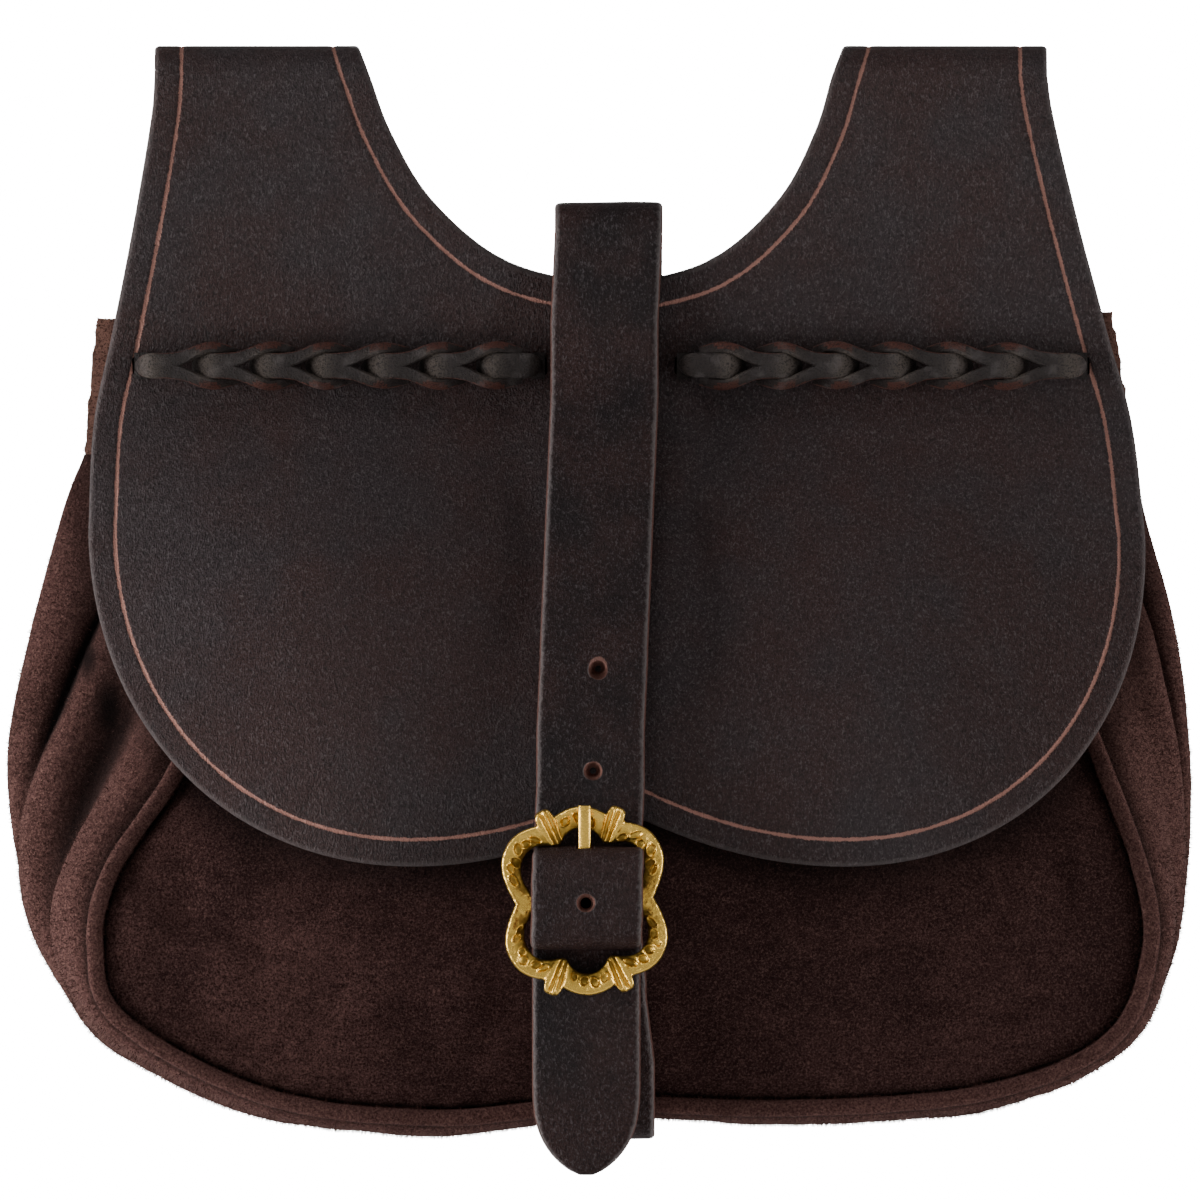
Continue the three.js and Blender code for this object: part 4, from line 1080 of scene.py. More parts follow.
def flap_outline(fold_length):
    """The flat cut round both arms, as places across and along, anticlockwise from the notch."""
    fold = np.linspace(0, fold_length, FOLD_POINTS) + FOLD_HEIGHT
    rise = np.linspace(LOBE_WIDE_Z, FOLD_HEIGHT, RISE_POINTS)
    fall = np.linspace(FOLD_HEIGHT, BACK_LEAF_END, FALL_POINTS)
    lobe_half, lobe_z = lobe_edge(np.linspace(0, 1, LOBE_POINTS))
    arm, neck = FLAP_OUTER["half"][-1], FLAP_NECK["half"][-1]
    outer = np.concatenate(
        [
            np.stack([lobe_half, lobe_z], axis=-1),
            np.stack([read(FLAP_OUTER, "z", "half", rise), rise], axis=-1)[1:],
            np.stack([np.full_like(fold, arm), fold], axis=-1)[1:],
            np.stack([read(FLAP_OUTER, "z", "half", fall), leaf_along(fall, fold_length)], axis=-1)[1:],
        ]
    )
    neck_along = np.linspace(1, 0, NECK_POINTS)
    neck_line = np.stack(read_all(FLAP_NECK, "along", "half z", neck_along), axis=-1)
    leaf_neck = neck_line[neck_line[:, 0] > BACK_LEAF_INNER]
    leaf_neck = np.stack([leaf_neck[:, 0], leaf_along(leaf_neck[:, 1], fold_length)], axis=-1)[::-1]
    foot = np.array((BACK_LEAF_INNER, leaf_along(BACK_LEAF_END, fold_length)))
    end = np.stack([outer[-1], foot])
    inner_line = np.stack([foot, leaf_neck[0]])
    leaf = outer
    for path, leg in zip((end, inner_line, leaf_neck), LEAF_CORNERS):
        leaf = round_corner(leaf, path, leg)
    spread = NECK_SPREAD * np.sin(math.pi * np.linspace(0, 1, len(fold)))
    fold_line = np.stack([neck + spread, fold], axis=-1)[::-1]
    right = evenly(np.concatenate([leaf, fold_line[1:], neck_line[1:]]), EDGE_STEP)
    left = right[::-1][1:-1] * (-1, 1)
    return np.concatenate([right, left])


def lace_slots(along, half, tall):
    """The lacing's four slots at a place along the flat cut: middle, half width and half height."""
    return [(side * end, along, half, tall) for side in (1, -1) for end in (LACE_INNER, LACE_OUTER)]


def faces_near(net, x, z, half, tall, corner=0):
    """Faces of a flat net whose middle is inside a rectangle with its corners cut off."""
    found = []
    for face in net.faces:
        middle = face.calc_center_median()
        across, along = abs(middle.x - x), abs(middle.z - z)
        if across < half and along < tall and across + along < half + tall - corner:
            found.append(face)
    return found


def cut_slots(net, slots):
    """Cuts slots with cut-off corners into a flat net of faces that lies in x and z."""
    for x, z, half, tall in slots:
        corner = LACE_SLOT_CORNER * half / LACE_SLOT_HALF
        slant_x, slant_z = half - corner / 2, tall - corner / 2
        lines = [(half, 0), (-half, 0), (0, tall), (0, -tall)]
        lines += [(side * slant_x, end * slant_z) for side in (1, -1) for end in (1, -1)]
        for right, up in lines:
            near = faces_near(net, x, z, half + SLOT_MARGIN, tall + SLOT_MARGIN)
            edges = {edge for face in near for edge in face.edges}
            corners = {corner for face in near for corner in face.verts}
            way = (np.sign(right), 0, np.sign(up))
            spot = (x + right, 0, z + up)
            geometry = [*near, *edges, *corners]
            bmesh.ops.bisect_plane(net, geom=geometry, dist=NET_WELD, plane_co=spot, plane_no=way)
        bmesh.ops.delete(net, geom=faces_near(net, x, z, half, tall, corner), context="FACES")


def flap_net(outline, slots):
    """The flat cut as a mesh: rings along its edge, and a square net inside them."""
    net = bmesh.new()
    middle = net.faces.new([net.verts.new((x, 0, along)) for x, along in outline])
    middle.normal_update()
    inset = 0
    for ring in FLAP_RINGS:
        bmesh.ops.inset_individual(net, faces=[middle], thickness=ring - inset, use_even_offset=True)
        inset = ring
    geometry = [*middle.verts, *middle.edges, middle]
    low, high = outline.min(axis=0), outline.max(axis=0)
    for axis, way in ((0, (1, 0, 0)), (1, (0, 0, 1))):
        for spot in np.arange(low[axis] + NET_START, high[axis] - NET_END, FLAP_NET):
            place = Vector(way) * spot
            cut = bmesh.ops.bisect_plane(net, geom=geometry, dist=NET_WELD, plane_co=place, plane_no=way)
            geometry = cut["geom"]
    cut_slots(net, slots)
    return net


def wrap_flap(x, along, radius, fold_length):
    """Places of the flap's outer face: down the front, over the fold and down the back leaf."""
    turn = np.clip((along - FOLD_HEIGHT) / fold_length, 0, 1) * math.pi
    over = along - FOLD_HEIGHT - fold_length
    front_z = np.minimum(along, FOLD_HEIGHT)
    back_z = FOLD_HEIGHT - np.maximum(over, 0)
    behind = over >= 0
    front_depth = flap_depth(x, front_z) + radius - FOLD_RADIUS
    back_depth = FOLD_RADIUS - radius - read(BACK_LEAF, "z", "behind", back_z)
    folded = (along > FOLD_HEIGHT) & ~behind
    depth = np.where(behind, back_depth, np.where(folded, radius * np.cos(turn), front_depth))
    base_z = np.where(behind, back_z, front_z)
    z = np.where(folded, FOLD_HEIGHT + radius * np.sin(turn), base_z)
    return spots(x + lean(base_z), depth, z)


def edge_drop(edge, rounding):
    """How far a rounded edge falls away at a distance from it."""
    left = np.clip(1 - edge / rounding, 0, 1)
    return rounding * (1 - np.sqrt(1 - left**2))


def nearest(points, line):
    """Distance of each flat point from a closed line."""
    dense = evenly(np.concatenate([line, line[:1]]), NEAREST_STEP)
    tree = tree_of([(x, 0, z) for x, z in dense])
    return np.array([tree.find((x, 0, z))[2] for x, z in points])


def under_flap(points, thick):
    """From 0 to 1 how near each place is to the flap's edge, which shades it."""
    outline = flap_outline(math.pi * (FOLD_RADIUS + thick))
    flat = np.stack([points[:, 0] - lean(points[:, 2]), points[:, 2]], axis=-1)
    return np.exp(-((nearest(flat, outline) / SHADE_REACH) ** 2))


class BELTBAG_OT_cut_flap(bpy.types.Operator):
    """Cut the flap with its arms, tool its border line, fold the belt loops and shape the lobes"""

    bl_idname = "belt_bag.cut_flap"
    bl_label = "Cut Flap"

    def execute(self, context):
        sizes, colours = context.scene.belt_bag_sizes, context.scene.belt_bag_colours
        thick = sizes.flap_thick / MM
        radius = FOLD_RADIUS + thick
        fold_length = math.pi * radius
        outline = flap_outline(fold_length)
        slots = lace_slots(LACE_HEIGHT, LACE_SLOT_HALF, LACE_SLOT_TALL)
        slots += lace_slots(leaf_along(LACE_HEIGHT, fold_length), LACE_SNUG_HALF, LACE_SNUG_TALL)
        net = flap_net(outline, slots)
        mesh = bpy.data.meshes.new("leather_flap")
        net.to_mesh(mesh)
        net.free()
        piece = bpy.data.objects.new("leather_flap", mesh)
        context.collection.objects.link(piece)
        flat = points_of(piece)
        x, along = flat[:, 0], flat[:, 2]
        edge = nearest(np.stack([x, along], axis=-1), outline)
        keep(piece, "edge", edge)
        points = wrap_flap(x, along, radius, fold_length)
        front = np.clip((FOLD_HEIGHT - along) / FOLD_EASE, 0, 1)
        sag = swells(points, "flap") - creased(FLAP_CREASES, x, along) * front
        points[:, 1] -= sag * front
        move_points(piece, points * MM)
        inset, width = sizes.groove_inset / MM, sizes.groove_width / MM
        groove = sizes.groove_depth / MM * np.exp(-(((edge - inset) / (0.5 * width)) ** 2))
        rounding = sizes.edge_round / MM
        outer_relief = -groove - edge_drop(edge, rounding)
        thicken(piece, sizes.flap_thick, outer_relief, -edge_drop(edge, INNER_ROUND * rounding))
        border = (inset, width)
        hide = leather("flap_leather", colours, colours.leather, gloss=0.15, rub=0.05, groove=border)
        finish_piece(piece, "flap", [hide], smooth_degrees=65)
        flat = (outline.max(axis=0) - outline.min(axis=0)) * MM
        return {"FINISHED"}


def seam(names, station):
    """Columns of the seam table at a station."""
    return read_all(SEAMS, "station", names, station)


def seam_frame(station):
    """The piping's centre line at a station, and the way out of the pouch there."""
    step = 1e-3
    before, after = np.maximum(station - step, 0), np.minimum(station + step, 1)
    run_x, run_z = np.subtract(seam("front_x front_z", after), seam("front_x front_z", before))
    length = np.hypot(run_x, run_z)
    out = np.stack([run_z / length, np.zeros_like(length), -run_x / length], axis=-1)
    cord = spots(*seam("front_x depth front_z", station))
    return cord, out


def front_panel_places(tuck):
    """The front panel's surface, whose edges stop a tuck short of the piping's centre line."""

    def edge(station):
        cord, out = seam_frame(station)
        return cord - out * tuck

    def place(u, rise):
        v = 1 - rise
        across, down = u[:, None], v[:, None]
        left, right = edge(LEFT_CORNER * v), edge(1 - (1 - RIGHT_CORNER) * v)
        bottom = edge(mix(LEFT_CORNER, RIGHT_CORNER, u))
        ends = edge(np.array([0.0, 1.0, LEFT_CORNER, RIGHT_CORNER]))
        top = mix(ends[0], ends[1], across) + spots(0, MOUTH_BOW * np.sin(math.pi * u), 0)
        corners = mix(mix(ends[0], ends[1], across), mix(ends[2], ends[3], across), down)
        belly = BELLY * np.sin(math.pi * v) * (1 - np.abs(2 * u - 1) ** BELLY_POWER)
        return mix(left, right, across) + mix(top, bottom, down) - corners + spots(0, belly, 0)

    return place


class BELTBAG_OT_sew_front_panel(bpy.types.Operator):
    """Sew the bellied suede front of the pouch"""

    bl_idname = "belt_bag.sew_front_panel"
    bl_label = "Sew Front Panel"

    def execute(self, context):
        sizes, colours = context.scene.belt_bag_sizes, context.scene.belt_bag_colours
        place = front_panel_places(FRONT_TUCK * sizes.piping_radius / MM)
        across, down = FRONT_GRID
        piece = grid_piece("suede_front", across, down, place)
        points = points_of(piece) / MM
        cord = tree_of(seam_frame(np.linspace(0, 1, SEAM_STATIONS))[0])
        away = np.array([cord.find(point)[2] for point in points])
        x, z = points[:, 0], points[:, 2]
        swell = swells(points, "front")
        gathers = GATHER_HIGH * np.sin(GATHER_PITCH * (x - z)) * np.exp(-away / GATHER_REACH)
        tucked = np.exp(-((away / TUCK_REACH) ** 2))
        calm = 1 - np.exp(-((away / CALM_REACH) ** 2))
        relief = swell * calm + gathers - tucked - creased(PANEL_CREASES, x, z)
        patch = np.exp(-(((x - PATCH_X) / PATCH_WIDE) ** 2) - ((z - PATCH_Z) / PATCH_TALL) ** 2)
        brushed = FRONT_SWELL * swell + PATCH_BRUSHED * patch + EDGE_BRUSHED * np.exp(-away / EDGE_REACH)
        keep(piece, "brushed", brushed)
        # Painted shade under the flap's edge and beside the piping
        shaded = FRONT_SHADE * under_flap(points, sizes.flap_thick / MM)
        shade_share = SEAM_SHADE * np.exp(-np.maximum(away - SEAM_EDGE, 0) / SEAM_FADE)
        keep(piece, "painted_shade", np.maximum(shaded, shade_share))
        faces = len(piece.data.polygons)
        thicken(piece, sizes.suede_thick, relief, -relief)
        nap_colours = colours.suede, colours.suede_brushed
        material = suede("suede", colours, *nap_colours, light=0.65, pitted=0.9, fuzz=0.5)
        finish_piece(piece, "front_panel", [material], smooth_degrees=60)
        nap = raise_nap(piece, faces, FRONT_NAP, material)
        return {"FINISHED"}


def gusset_folds(share, station):
    """How deep the gusset lies in its sharp rear crease and in its soft middle valley."""
    rear, rear_at, middle, middle_at = seam("rear rear_at middle middle_at", station)
    fade = np.minimum(1, FOLD_FADE * np.minimum(share, 1 - share))
    crease = fade * rear * np.exp(-np.abs(share - rear_at) / CREASE_WIDTH)
    valley = fade * middle * np.exp(-(((share - middle_at) / VALLEY_WIDTH) ** 2))
    return crease, valley


def gusset_places(tuck):
    """The gusset's outer face, from the piping at 0 to the back panel at 1, along the seam's stations."""

    def place(share, station):
        back_x, back_z, bulge = seam("back_x back_z bulge", station)
        cord, out = seam_frame(station)
        front = cord + out * tuck + spots(0, -tuck, 0)
        back = spots(back_x, -SEAM_BITE, back_z)
        reach_out = np.maximum(np.sum((back - front) * out, axis=1), 0)
        facing = out * (back - front)[:, 1:2] + spots(0, reach_out, 0)
        facing /= np.linalg.norm(facing, axis=1)[:, None]
        folds = -sum(gusset_folds(share, station))
        risen = 1 - np.exp(-((share / LIP_RISE) ** 2))
        lip = LIP * bulge * risen * np.exp(-((share / LIP_REACH) ** 2))
        stand = bulge * 4 * share * (1 - share)
        spread = mix(share, 1 - (1 - share) ** 2, share)
        run = np.stack([spread, share, spread], axis=-1)
        return mix(front, back, run) + out * stand[:, None] + facing * (folds + lip)[:, None]

    return place


class BELTBAG_OT_fold_gusset(bpy.types.Operator):
    """Fold the suede strip that makes the pouch's sides and bottom"""

    bl_idname = "belt_bag.fold_gusset"
    bl_label = "Fold Gusset"

    def execute(self, context):
        sizes, colours = context.scene.belt_bag_sizes, context.scene.belt_bag_colours
        place = gusset_places(GUSSET_TUCK * sizes.piping_radius / MM)
        across, stations = GUSSET_GRID
        piece = grid_piece("suede_gusset_lit", across, stations, place)
        points = points_of(piece) / MM
        share = np.tile(np.linspace(0, 1, across + 1), stations + 1)
        calm = np.minimum(1, SWELL_FADE * np.minimum(share, 1 - share))
        swell = swells(points, "gusset") + swells(points * DRAWN, "gusset_drawn")
        station = np.repeat(np.linspace(0, 1, stations + 1), across + 1)
        crease, valley = gusset_folds(share, station)
        # Painted shade in the rear crease and middle valley, beside the piping, under the flap and in the
        # pockets
        shade_share = [
            np.clip((crease - CREASE_FROM) / CREASE_OVER, 0, 1),
            VALLEY_SHADE * np.clip((valley - VALLEY_FROM) / VALLEY_OVER, 0, 1),
            CORD_SHADE * np.exp(-((share / CORD_REACH) ** 2)),
            GUSSET_SHADE * under_flap(points, sizes.flap_thick / MM),
        ]
        for x, z, half, tall in zip(*POCKETS.values()):
            away = np.hypot((points[:, 0] - x) / half, (points[:, 2] - z) / tall)
            shade_share.append(POCKET_SHADE * np.exp(-(away**3)))
        keep(piece, "painted_shade", np.max(shade_share, axis=0))
        keep(piece, "brushed", GUSSET_BRUSHED + GUSSET_SWELL * swell)
        faces = len(piece.data.polygons)
        thicken(piece, sizes.suede_thick, swell * calm, -swell * calm)
        # The gusset's lighter main colour and greater share of brushed nap are a painted highlight from the
        # side lights
        nap_colours = colours.suede_gusset_lit, colours.suede_brushed
        material = suede("lit_gusset_suede", colours, *nap_colours, light=0.9, pitted=0.65, fuzz=0.85)
        finish_piece(piece, "gusset", [material], smooth_degrees=60)
        nap = raise_nap(piece, faces, GUSSET_NAP, material)
        return {"FINISHED"}


def back_panel_places(behind):
    """The flat back panel's outer face, with a yoke above the gusset's ends."""

    def edge(station):
        back_x, back_z = seam("back_x back_z", station)
        return spots(back_x, -behind, back_z)

    def side(way, v):
        t = np.maximum(0, (v - YOKE) / (1 - YOKE))
        seamed = edge(LEFT_CORNER * t if way < 0 else 1 - (1 - RIGHT_CORNER) * t)
        corner = 0 if way < 0 else 1
        top = spots(BACK_TOP["x"][corner], -behind, BACK_TOP["z"][corner])
        return np.where((v < YOKE)[:, None], mix(top, seamed, (v / YOKE)[:, None]), seamed)

    def place(u, v):
        across, down = u[:, None], v[:, None]
        top = spots(mix(*BACK_TOP["x"], u), -behind, mix(*BACK_TOP["z"], u))
        bottom = edge(mix(LEFT_CORNER, RIGHT_CORNER, u))
        ends = edge(np.array([LEFT_CORNER, RIGHT_CORNER]))
        corners = mix(top, mix(ends[0], ends[1], across), down)
        return mix(side(-1, v), side(1, v), across) + mix(top, bottom, down) - corners

    return place


class BELTBAG_OT_sew_back_panel(bpy.types.Operator):
    """Sew the flat suede back of the pouch"""

    bl_idname = "belt_bag.sew_back_panel"
    bl_label = "Sew Back Panel"

    def execute(self, context):
        sizes, colours = context.scene.belt_bag_sizes, context.scene.belt_bag_colours
        across, down = BACK_GRID
        piece = grid_piece("suede_back", across, down, back_panel_places(sizes.suede_thick / MM))
        flat, area = flat_cut(points_of(piece).reshape(down + 1, across + 1, 3) / MM)
        net = bmesh.new()
        net.from_mesh(piece.data)
        bmesh.ops.scale(net, vec=(1 / MM,) * 3, verts=net.verts)
        slots = lace_slots(LACE_HEIGHT, LACE_SNUG_HALF, LACE_SNUG_TALL)
        cut_slots(net, [(x + lean(LACE_HEIGHT), *rest) for x, *rest in slots])
        bmesh.ops.scale(net, vec=(MM,) * 3, verts=net.verts)
        net.to_mesh(piece.data)
        net.free()
        points = points_of(piece) / MM
        open_back = np.clip((OPEN_BACK - points[:, 2]) / OPEN_FADE, 0, 1)
        swell = swells(points, "back") * open_back
        tab = np.clip((np.abs(points[:, 0]) - TAB_START) / TAB_WIDTH, 0, 1)
        tab *= np.clip((points[:, 2] - TAB_FOOT) / TAB_RISE, 0, 1)
        ragged = np.sqrt(tab) * swells(points, "back_rags")
        points[:, 0] += ragged
        points[:, 2] += ragged
        move_points(piece, points * MM)
        # The corners are painted lighter as fluffed raw suede and as a painted highlight, more on the left
        # where the light falls
        fluffed = np.where(points[:, 0] < 0, TAB_LEFT_LIT, TAB_RIGHT_LIT) * tab
        keep(piece, "brushed", fluffed + BACK_SWELL * swell + BACK_BRUSHED)
        # Painted shade round the lacing's slots in the back panel
        inside = np.abs(np.abs(points[:, 0] - lean(LACE_HEIGHT)) - (LACE_INNER + LACE_OUTER) / 2)
        at_slot = np.hypot(inside - (LACE_OUTER - LACE_INNER) / 2, points[:, 2] - LACE_HEIGHT)
        keep(piece, "painted_shade", np.exp(-((at_slot / SLOT_SHADE_REACH) ** 4)))
        thicken(piece, sizes.suede_thick, swell * BACK_RELIEF, -swell * BACK_RELIEF)
        nap_colours = colours.suede_back, colours.suede_raw_lit
        material = suede("back_suede", colours, *nap_colours, light=0.9, pitted=0.95, fuzz=0.9)
        finish_piece(piece, "back_panel", [material], smooth_degrees=60)
        nap = raise_nap(piece, len(piece.data.polygons), BACK_NAP, material)
        return {"FINISHED"}


class BELTBAG_OT_cover_piping(bpy.types.Operator):
    """Cover the corded edge between the front panel and the gusset"""

    bl_idname = "belt_bag.cover_piping"
    bl_label = "Cover Piping"

    def execute(self, context):
        sizes, colours = context.scene.belt_bag_sizes, context.scene.belt_bag_colours
        stations, sides = PIPING_GRID
        cord, out = seam_frame(np.linspace(0, 1, stations))
        angle = np.linspace(0, 2 * math.pi, sides, endpoint=False)
        front = np.array((0, -1, 0))
        across, ahead = squarish(angle, PIPING_SQUARE)
        around = across[None, :, None] * out[:, None, :] + ahead[None, :, None] * front
        rings = cord[:, None, :] + around * sizes.piping_radius / MM
        uneven = swells(rings.reshape(-1, 3), "piping").reshape(stations, sides, 1)
        rings = rings + around * (uneven - PIPING_SHRINK)
        piece = loft_piece("suede_piping", rings)
        keep(piece, "brushed", PIPING_BRUSHED + swells(points_of(piece) / MM, "piping_brushed"))
        # Painted shade on the cord's sides, where it meets the suede
        shade_share = np.clip((np.abs(across) - CORD_SIDE) / CORD_SIDE_FADE, 0, 1) ** 2 * (ahead < CORD_FRONT)
        carry(piece, "painted_shade", rings, CORD_SIDE_SHADE * np.tile(shade_share, (stations, 1)))
        nap_colours = colours.suede_piping, colours.suede_brushed
        material = suede("piping_suede", colours, *nap_colours, light=0.8, pitted=0.65, fuzz=0.8)
        finish_piece(piece, "piping", [material], smooth_degrees=60)
        raise_nap(piece, len(piece.data.polygons), PIPING_NAP, material)
        return {"FINISHED"}


def bent_run(way, step):
    """A path through way points in one plane with a round turn at each, as points a step apart."""
    flat = np.stack([-way["depth"], way["z"]], axis=-1)
    run = [(way["x"][0], *flat[0])]
    for index in range(1, len(flat) - 1):
        before, after = flat[index - 1] - flat[index], flat[index + 1] - flat[index]
        back, ahead = np.linalg.norm(before), np.linalg.norm(after)
        turn = math.pi - math.acos(np.clip(before @ after / back / ahead, -1, 1))
        reach = min(way["bend"][index] * math.tan(turn / 2), TURN_SHARE * back, TURN_SHARE * ahead)
        radius = reach / math.tan(turn / 2)
        side = np.sign(before[0] * after[1] - before[1] * after[0])
        start = flat[index] + before / back * reach
        arm = np.array((side * before[1], -side * before[0])) / back * radius
        pieces = max(2, math.ceil(radius * turn / (0.5 * step)))
        for angle in np.linspace(0, -side * turn, pieces + 1):
            cos, sin = math.cos(angle), math.sin(angle)
            spoke = (cos * arm[0] - sin * arm[1], sin * arm[0] + cos * arm[1])
            run.append((way["x"][index], start[0] - arm[0] + spoke[0], start[1] - arm[1] + spoke[1]))
    run.append((way["x"][-1], *flat[-1]))
    return evenly(np.array(run), step)


class BELTBAG_OT_buckle_strap(bpy.types.Operator):
    """Run the strap round the bag and through the buckle, and punch its holes"""

    bl_idname = "belt_bag.buckle_strap"
    bl_label = "Buckle Strap"

    def execute(self, context):
        sizes, colours = context.scene.belt_bag_sizes, context.scene.belt_bag_colours
        thick = sizes.strap_thick / MM
        run = bent_run(STRAP_WAY, STRAP_STEP)
        travelled = np.arange(len(run)) * np.linalg.norm(run[1] - run[0])
        ahead = np.gradient(run, axis=0)
        out = np.stack([np.zeros(len(run)), ahead[:, 2], -ahead[:, 1]], axis=-1)
        out /= np.linalg.norm(out, axis=1)[:, None]
        left = np.maximum(0, 1 - (travelled[-1] - travelled) / TIP_LENGTH)
        half = mix(TIP_HALF, STRAP_HALF, (1 - left**TIP_RUN) ** TIP_ROUND)
        raised = np.clip((-run[:, 1] - BUCKLE_DEPTH) / 2, 0, 1) * (np.arange(len(run)) > len(run) // 2)
        half = half + STRAP_SPREAD * raised
        inset = STRAP_SECTION["inset"] * np.minimum(1, half / 4)[:, None]
        across = half[:, None] * STRAP_SECTION["share"] - inset
        lift = np.broadcast_to(STRAP_SECTION["lift"] * thick / 2, across.shape)
        across = np.concatenate([across, -across[:, -2:0:-1]], axis=1)
        lift = np.concatenate([lift, lift[:, -2:0:-1]], axis=1)
        sideways = np.array((1.0, 0, 0))
        rings = run[:, None, :] + across[..., None] * sideways + lift[..., None] * out[:, None, :]
        rings[..., 2] += STRAP_ASLANT * raised[:, None] * across
        flat = rings.reshape(-1, 3)
        wrinkled = np.exp(-(((flat[:, 2] - WRINKLE_Z) / WRINKLE_REACH) ** 2))
        wrinkled *= swells(flat * WRINKLE_STRETCH, "strap_wrinkles")
        sag = (swells(flat, "strap") + wrinkled).reshape(lift.shape)
        rings = rings + (sag * (lift > 0))[..., None] * out[:, None, :]
        piece = loft_piece("leather_strap", rings)
        carry(piece, "edge", rings, half[:, None] - np.abs(across))
        front = len(run) // 2
        middles = []
        punches = []
        for x, z in zip(HOLES["x"], HOLES["z"]):
            index = front + np.argmin(np.abs(run[front:, 2] - z))
            face = run[index] + out[index] * thick / 2
            middles.append((x, face[1], face[2]))
            punches.append(punch_tool(HOLE_RADIUS, HOLE_INNER, thick, x, -run[index][1], z))
        slots = []
        for wide, deep, tall, depth, z in zip(*PRONG_SLOTS.values()):
            slots.append(box_tool(wide, deep, tall, BUCKLE_X, depth, z))
        combine(piece, punches + slots, "DIFFERENCE")
        hide = leather("strap_leather", colours, colours.strap, gloss=0.1, rub=0.5, holes=middles)
        finish_piece(piece, "strap", [hide], smooth_degrees=35)
        return {"FINISHED"}


class BELTBAG_OT_cast_buckle(bpy.types.Operator):
    """Cast the six-lobed buckle frame with its bar, and bend the prong"""

    bl_idname = "belt_bag.cast_buckle"
    bl_label = "Cast Buckle"

    def execute(self, context):
        colours = context.scene.belt_bag_colours
        brass = cast_brass("antique_brass", colours, 1.0)
        self.cast_frame(brass)
        self.bend_prong(cast_brass("prong_brass", colours, 0.8))
        return {"FINISHED"}

    def cast_frame(self, brass):
        turn = np.linspace(0, 360, BUCKLE_STATIONS, endpoint=False)
        half_turn = turn % 180
        folded = np.where(half_turn > 90, 180 - half_turn, half_turn)
        outer, inner = read_all(BUCKLE_QUARTER, "angle", "outer inner", folded[:, None])
        row = np.arange(len(BUCKLE_SECTION["lift"]))
        finer = np.linspace(0, len(row) - 1, 2 * len(row) - 1)
        share, high = (np.interp(finer, row, BUCKLE_SECTION[name]) for name in ("share", "lift"))
        radius = mix(inner, outer, share)
        lift = np.broadcast_to(high * BUCKLE_THICK / 2, radius.shape).copy()
        on_face = high > FACE_LIFT
        in_channel = on_face * np.clip((CHANNEL_END - share) / CHANNEL_FADE, 0, 1)
        relief = self.scoops(turn, radius, inner, outer)
        ribs = np.zeros_like(folded)
        for angle, half in zip(*KNOB_RIBS.values()):
            ribs += KNOB_RISE * np.exp(-(((folded - angle) / half) ** 4))
        waist = np.clip(1 - (folded[:, None] - WAIST_START) / WAIST_FADE, 0, 1)
        lift += relief * in_channel + ribs[:, None] * on_face
        lift = mix(lift, np.maximum(lift, WAIST_HIGH * BUCKLE_THICK / 2), waist * in_channel)
        spin = np.radians(turn + BUCKLE_TILT)[:, None]
        x, z = BUCKLE_X + radius * np.cos(spin), BUCKLE_Z + radius * np.sin(spin)
        rings = spots(x, BUCKLE_DEPTH + lift, z)
        pitting = swells(rings.reshape(-1, 3), "buckle_pits").reshape(lift.shape) * on_face
        lift += pitting
        rings[..., 1] -= pitting
        frame_piece = loft_piece("brass_frame", rings, closed=True)
        carry(frame_piece, "hollow", rings, np.clip((BUCKLE_THICK / 2 - lift) / HOLLOW_DEEP, 0, 1))
        deep = BUCKLE_DEPTH - BAR_DEPTH + BAR_RADIUS
        tools = [bar_tool(BAR_RADIUS, 2 * BAR_HALF, ROUND_SIDES)]
        for side in (1, -1):
            lug_x = BUCKLE_X + side * BAR_HALF
            tools.append(box_tool(LUG_WIDE, deep, LUG_TALL, lug_x, BUCKLE_DEPTH - deep / 2, BUCKLE_Z))
        combine(frame_piece, tools, "UNION")
        self.shade_bar(frame_piece)
        finish_piece(frame_piece, "buckle_frame", [brass], smooth_degrees=50)

    def scoops(self, turn, radius, inner, outer):
        """Uneven hollows with a raised lip, side by side along the inside of the band."""
        picker = np.random.default_rng(SCOOP_SEED)
        relief = np.zeros_like(radius)
        for start, end in zip(*BUCKLE_SCOOPS.values()):
            for angle in np.arange(start + SCOOP_STEP / 2, end, SCOOP_STEP):
                astray, share, along, across, slant, deep = picker.uniform(*SCOOP_RANGES.values())
                ahead = np.radians(turn - angle - astray)[:, None] * radius
                aside = radius - mix(inner, outer, share)
                cos, sin = math.cos(slant), math.sin(slant)
                out = np.hypot((ahead * cos + aside * sin) / along, (aside * cos - ahead * sin) / across)
                lip = SCOOP_LIP * np.exp(-(((out - SCOOP_LIP_AT) / SCOOP_LIP_WIDE) ** 2))
                relief += lip - deep * np.exp(-(out**4))
        return np.clip(relief, -SCOOP_LIMIT, SCOOP_LIMIT)

    def bend_prong(self, brass):
        z = np.linspace(PRONG_SHANK["z"][0], PRONG_SHANK["z"][-1], PRONG_STEPS)
        depth, half, tall = read_all(PRONG_SHANK, "z", "depth half tall", z[:, None])
        across, lift = squarish(np.linspace(0, 2 * math.pi, PRONG_SIDES, endpoint=False), PRONG_SQUARE)
        prong = loft_piece("brass_prong", spots(BUCKLE_X + across * half, depth + lift * tall, z[:, None]))
        eye = bar_tool(BAR_RADIUS + EYE_WALL, 2 * PRONG_HALF, EYE_SIDES)
        bore = bar_tool(BAR_RADIUS + EYE_CLEAR, 4 * PRONG_HALF, EYE_SIDES)
        combine(eye, [bore], "DIFFERENCE")
        combine(prong, [eye], "UNION")
        keep(prong, "hollow", np.zeros(len(prong.data.vertices)))
        self.shade_bar(prong)
        finish_piece(prong, "buckle_prong", [brass], smooth_degrees=50)

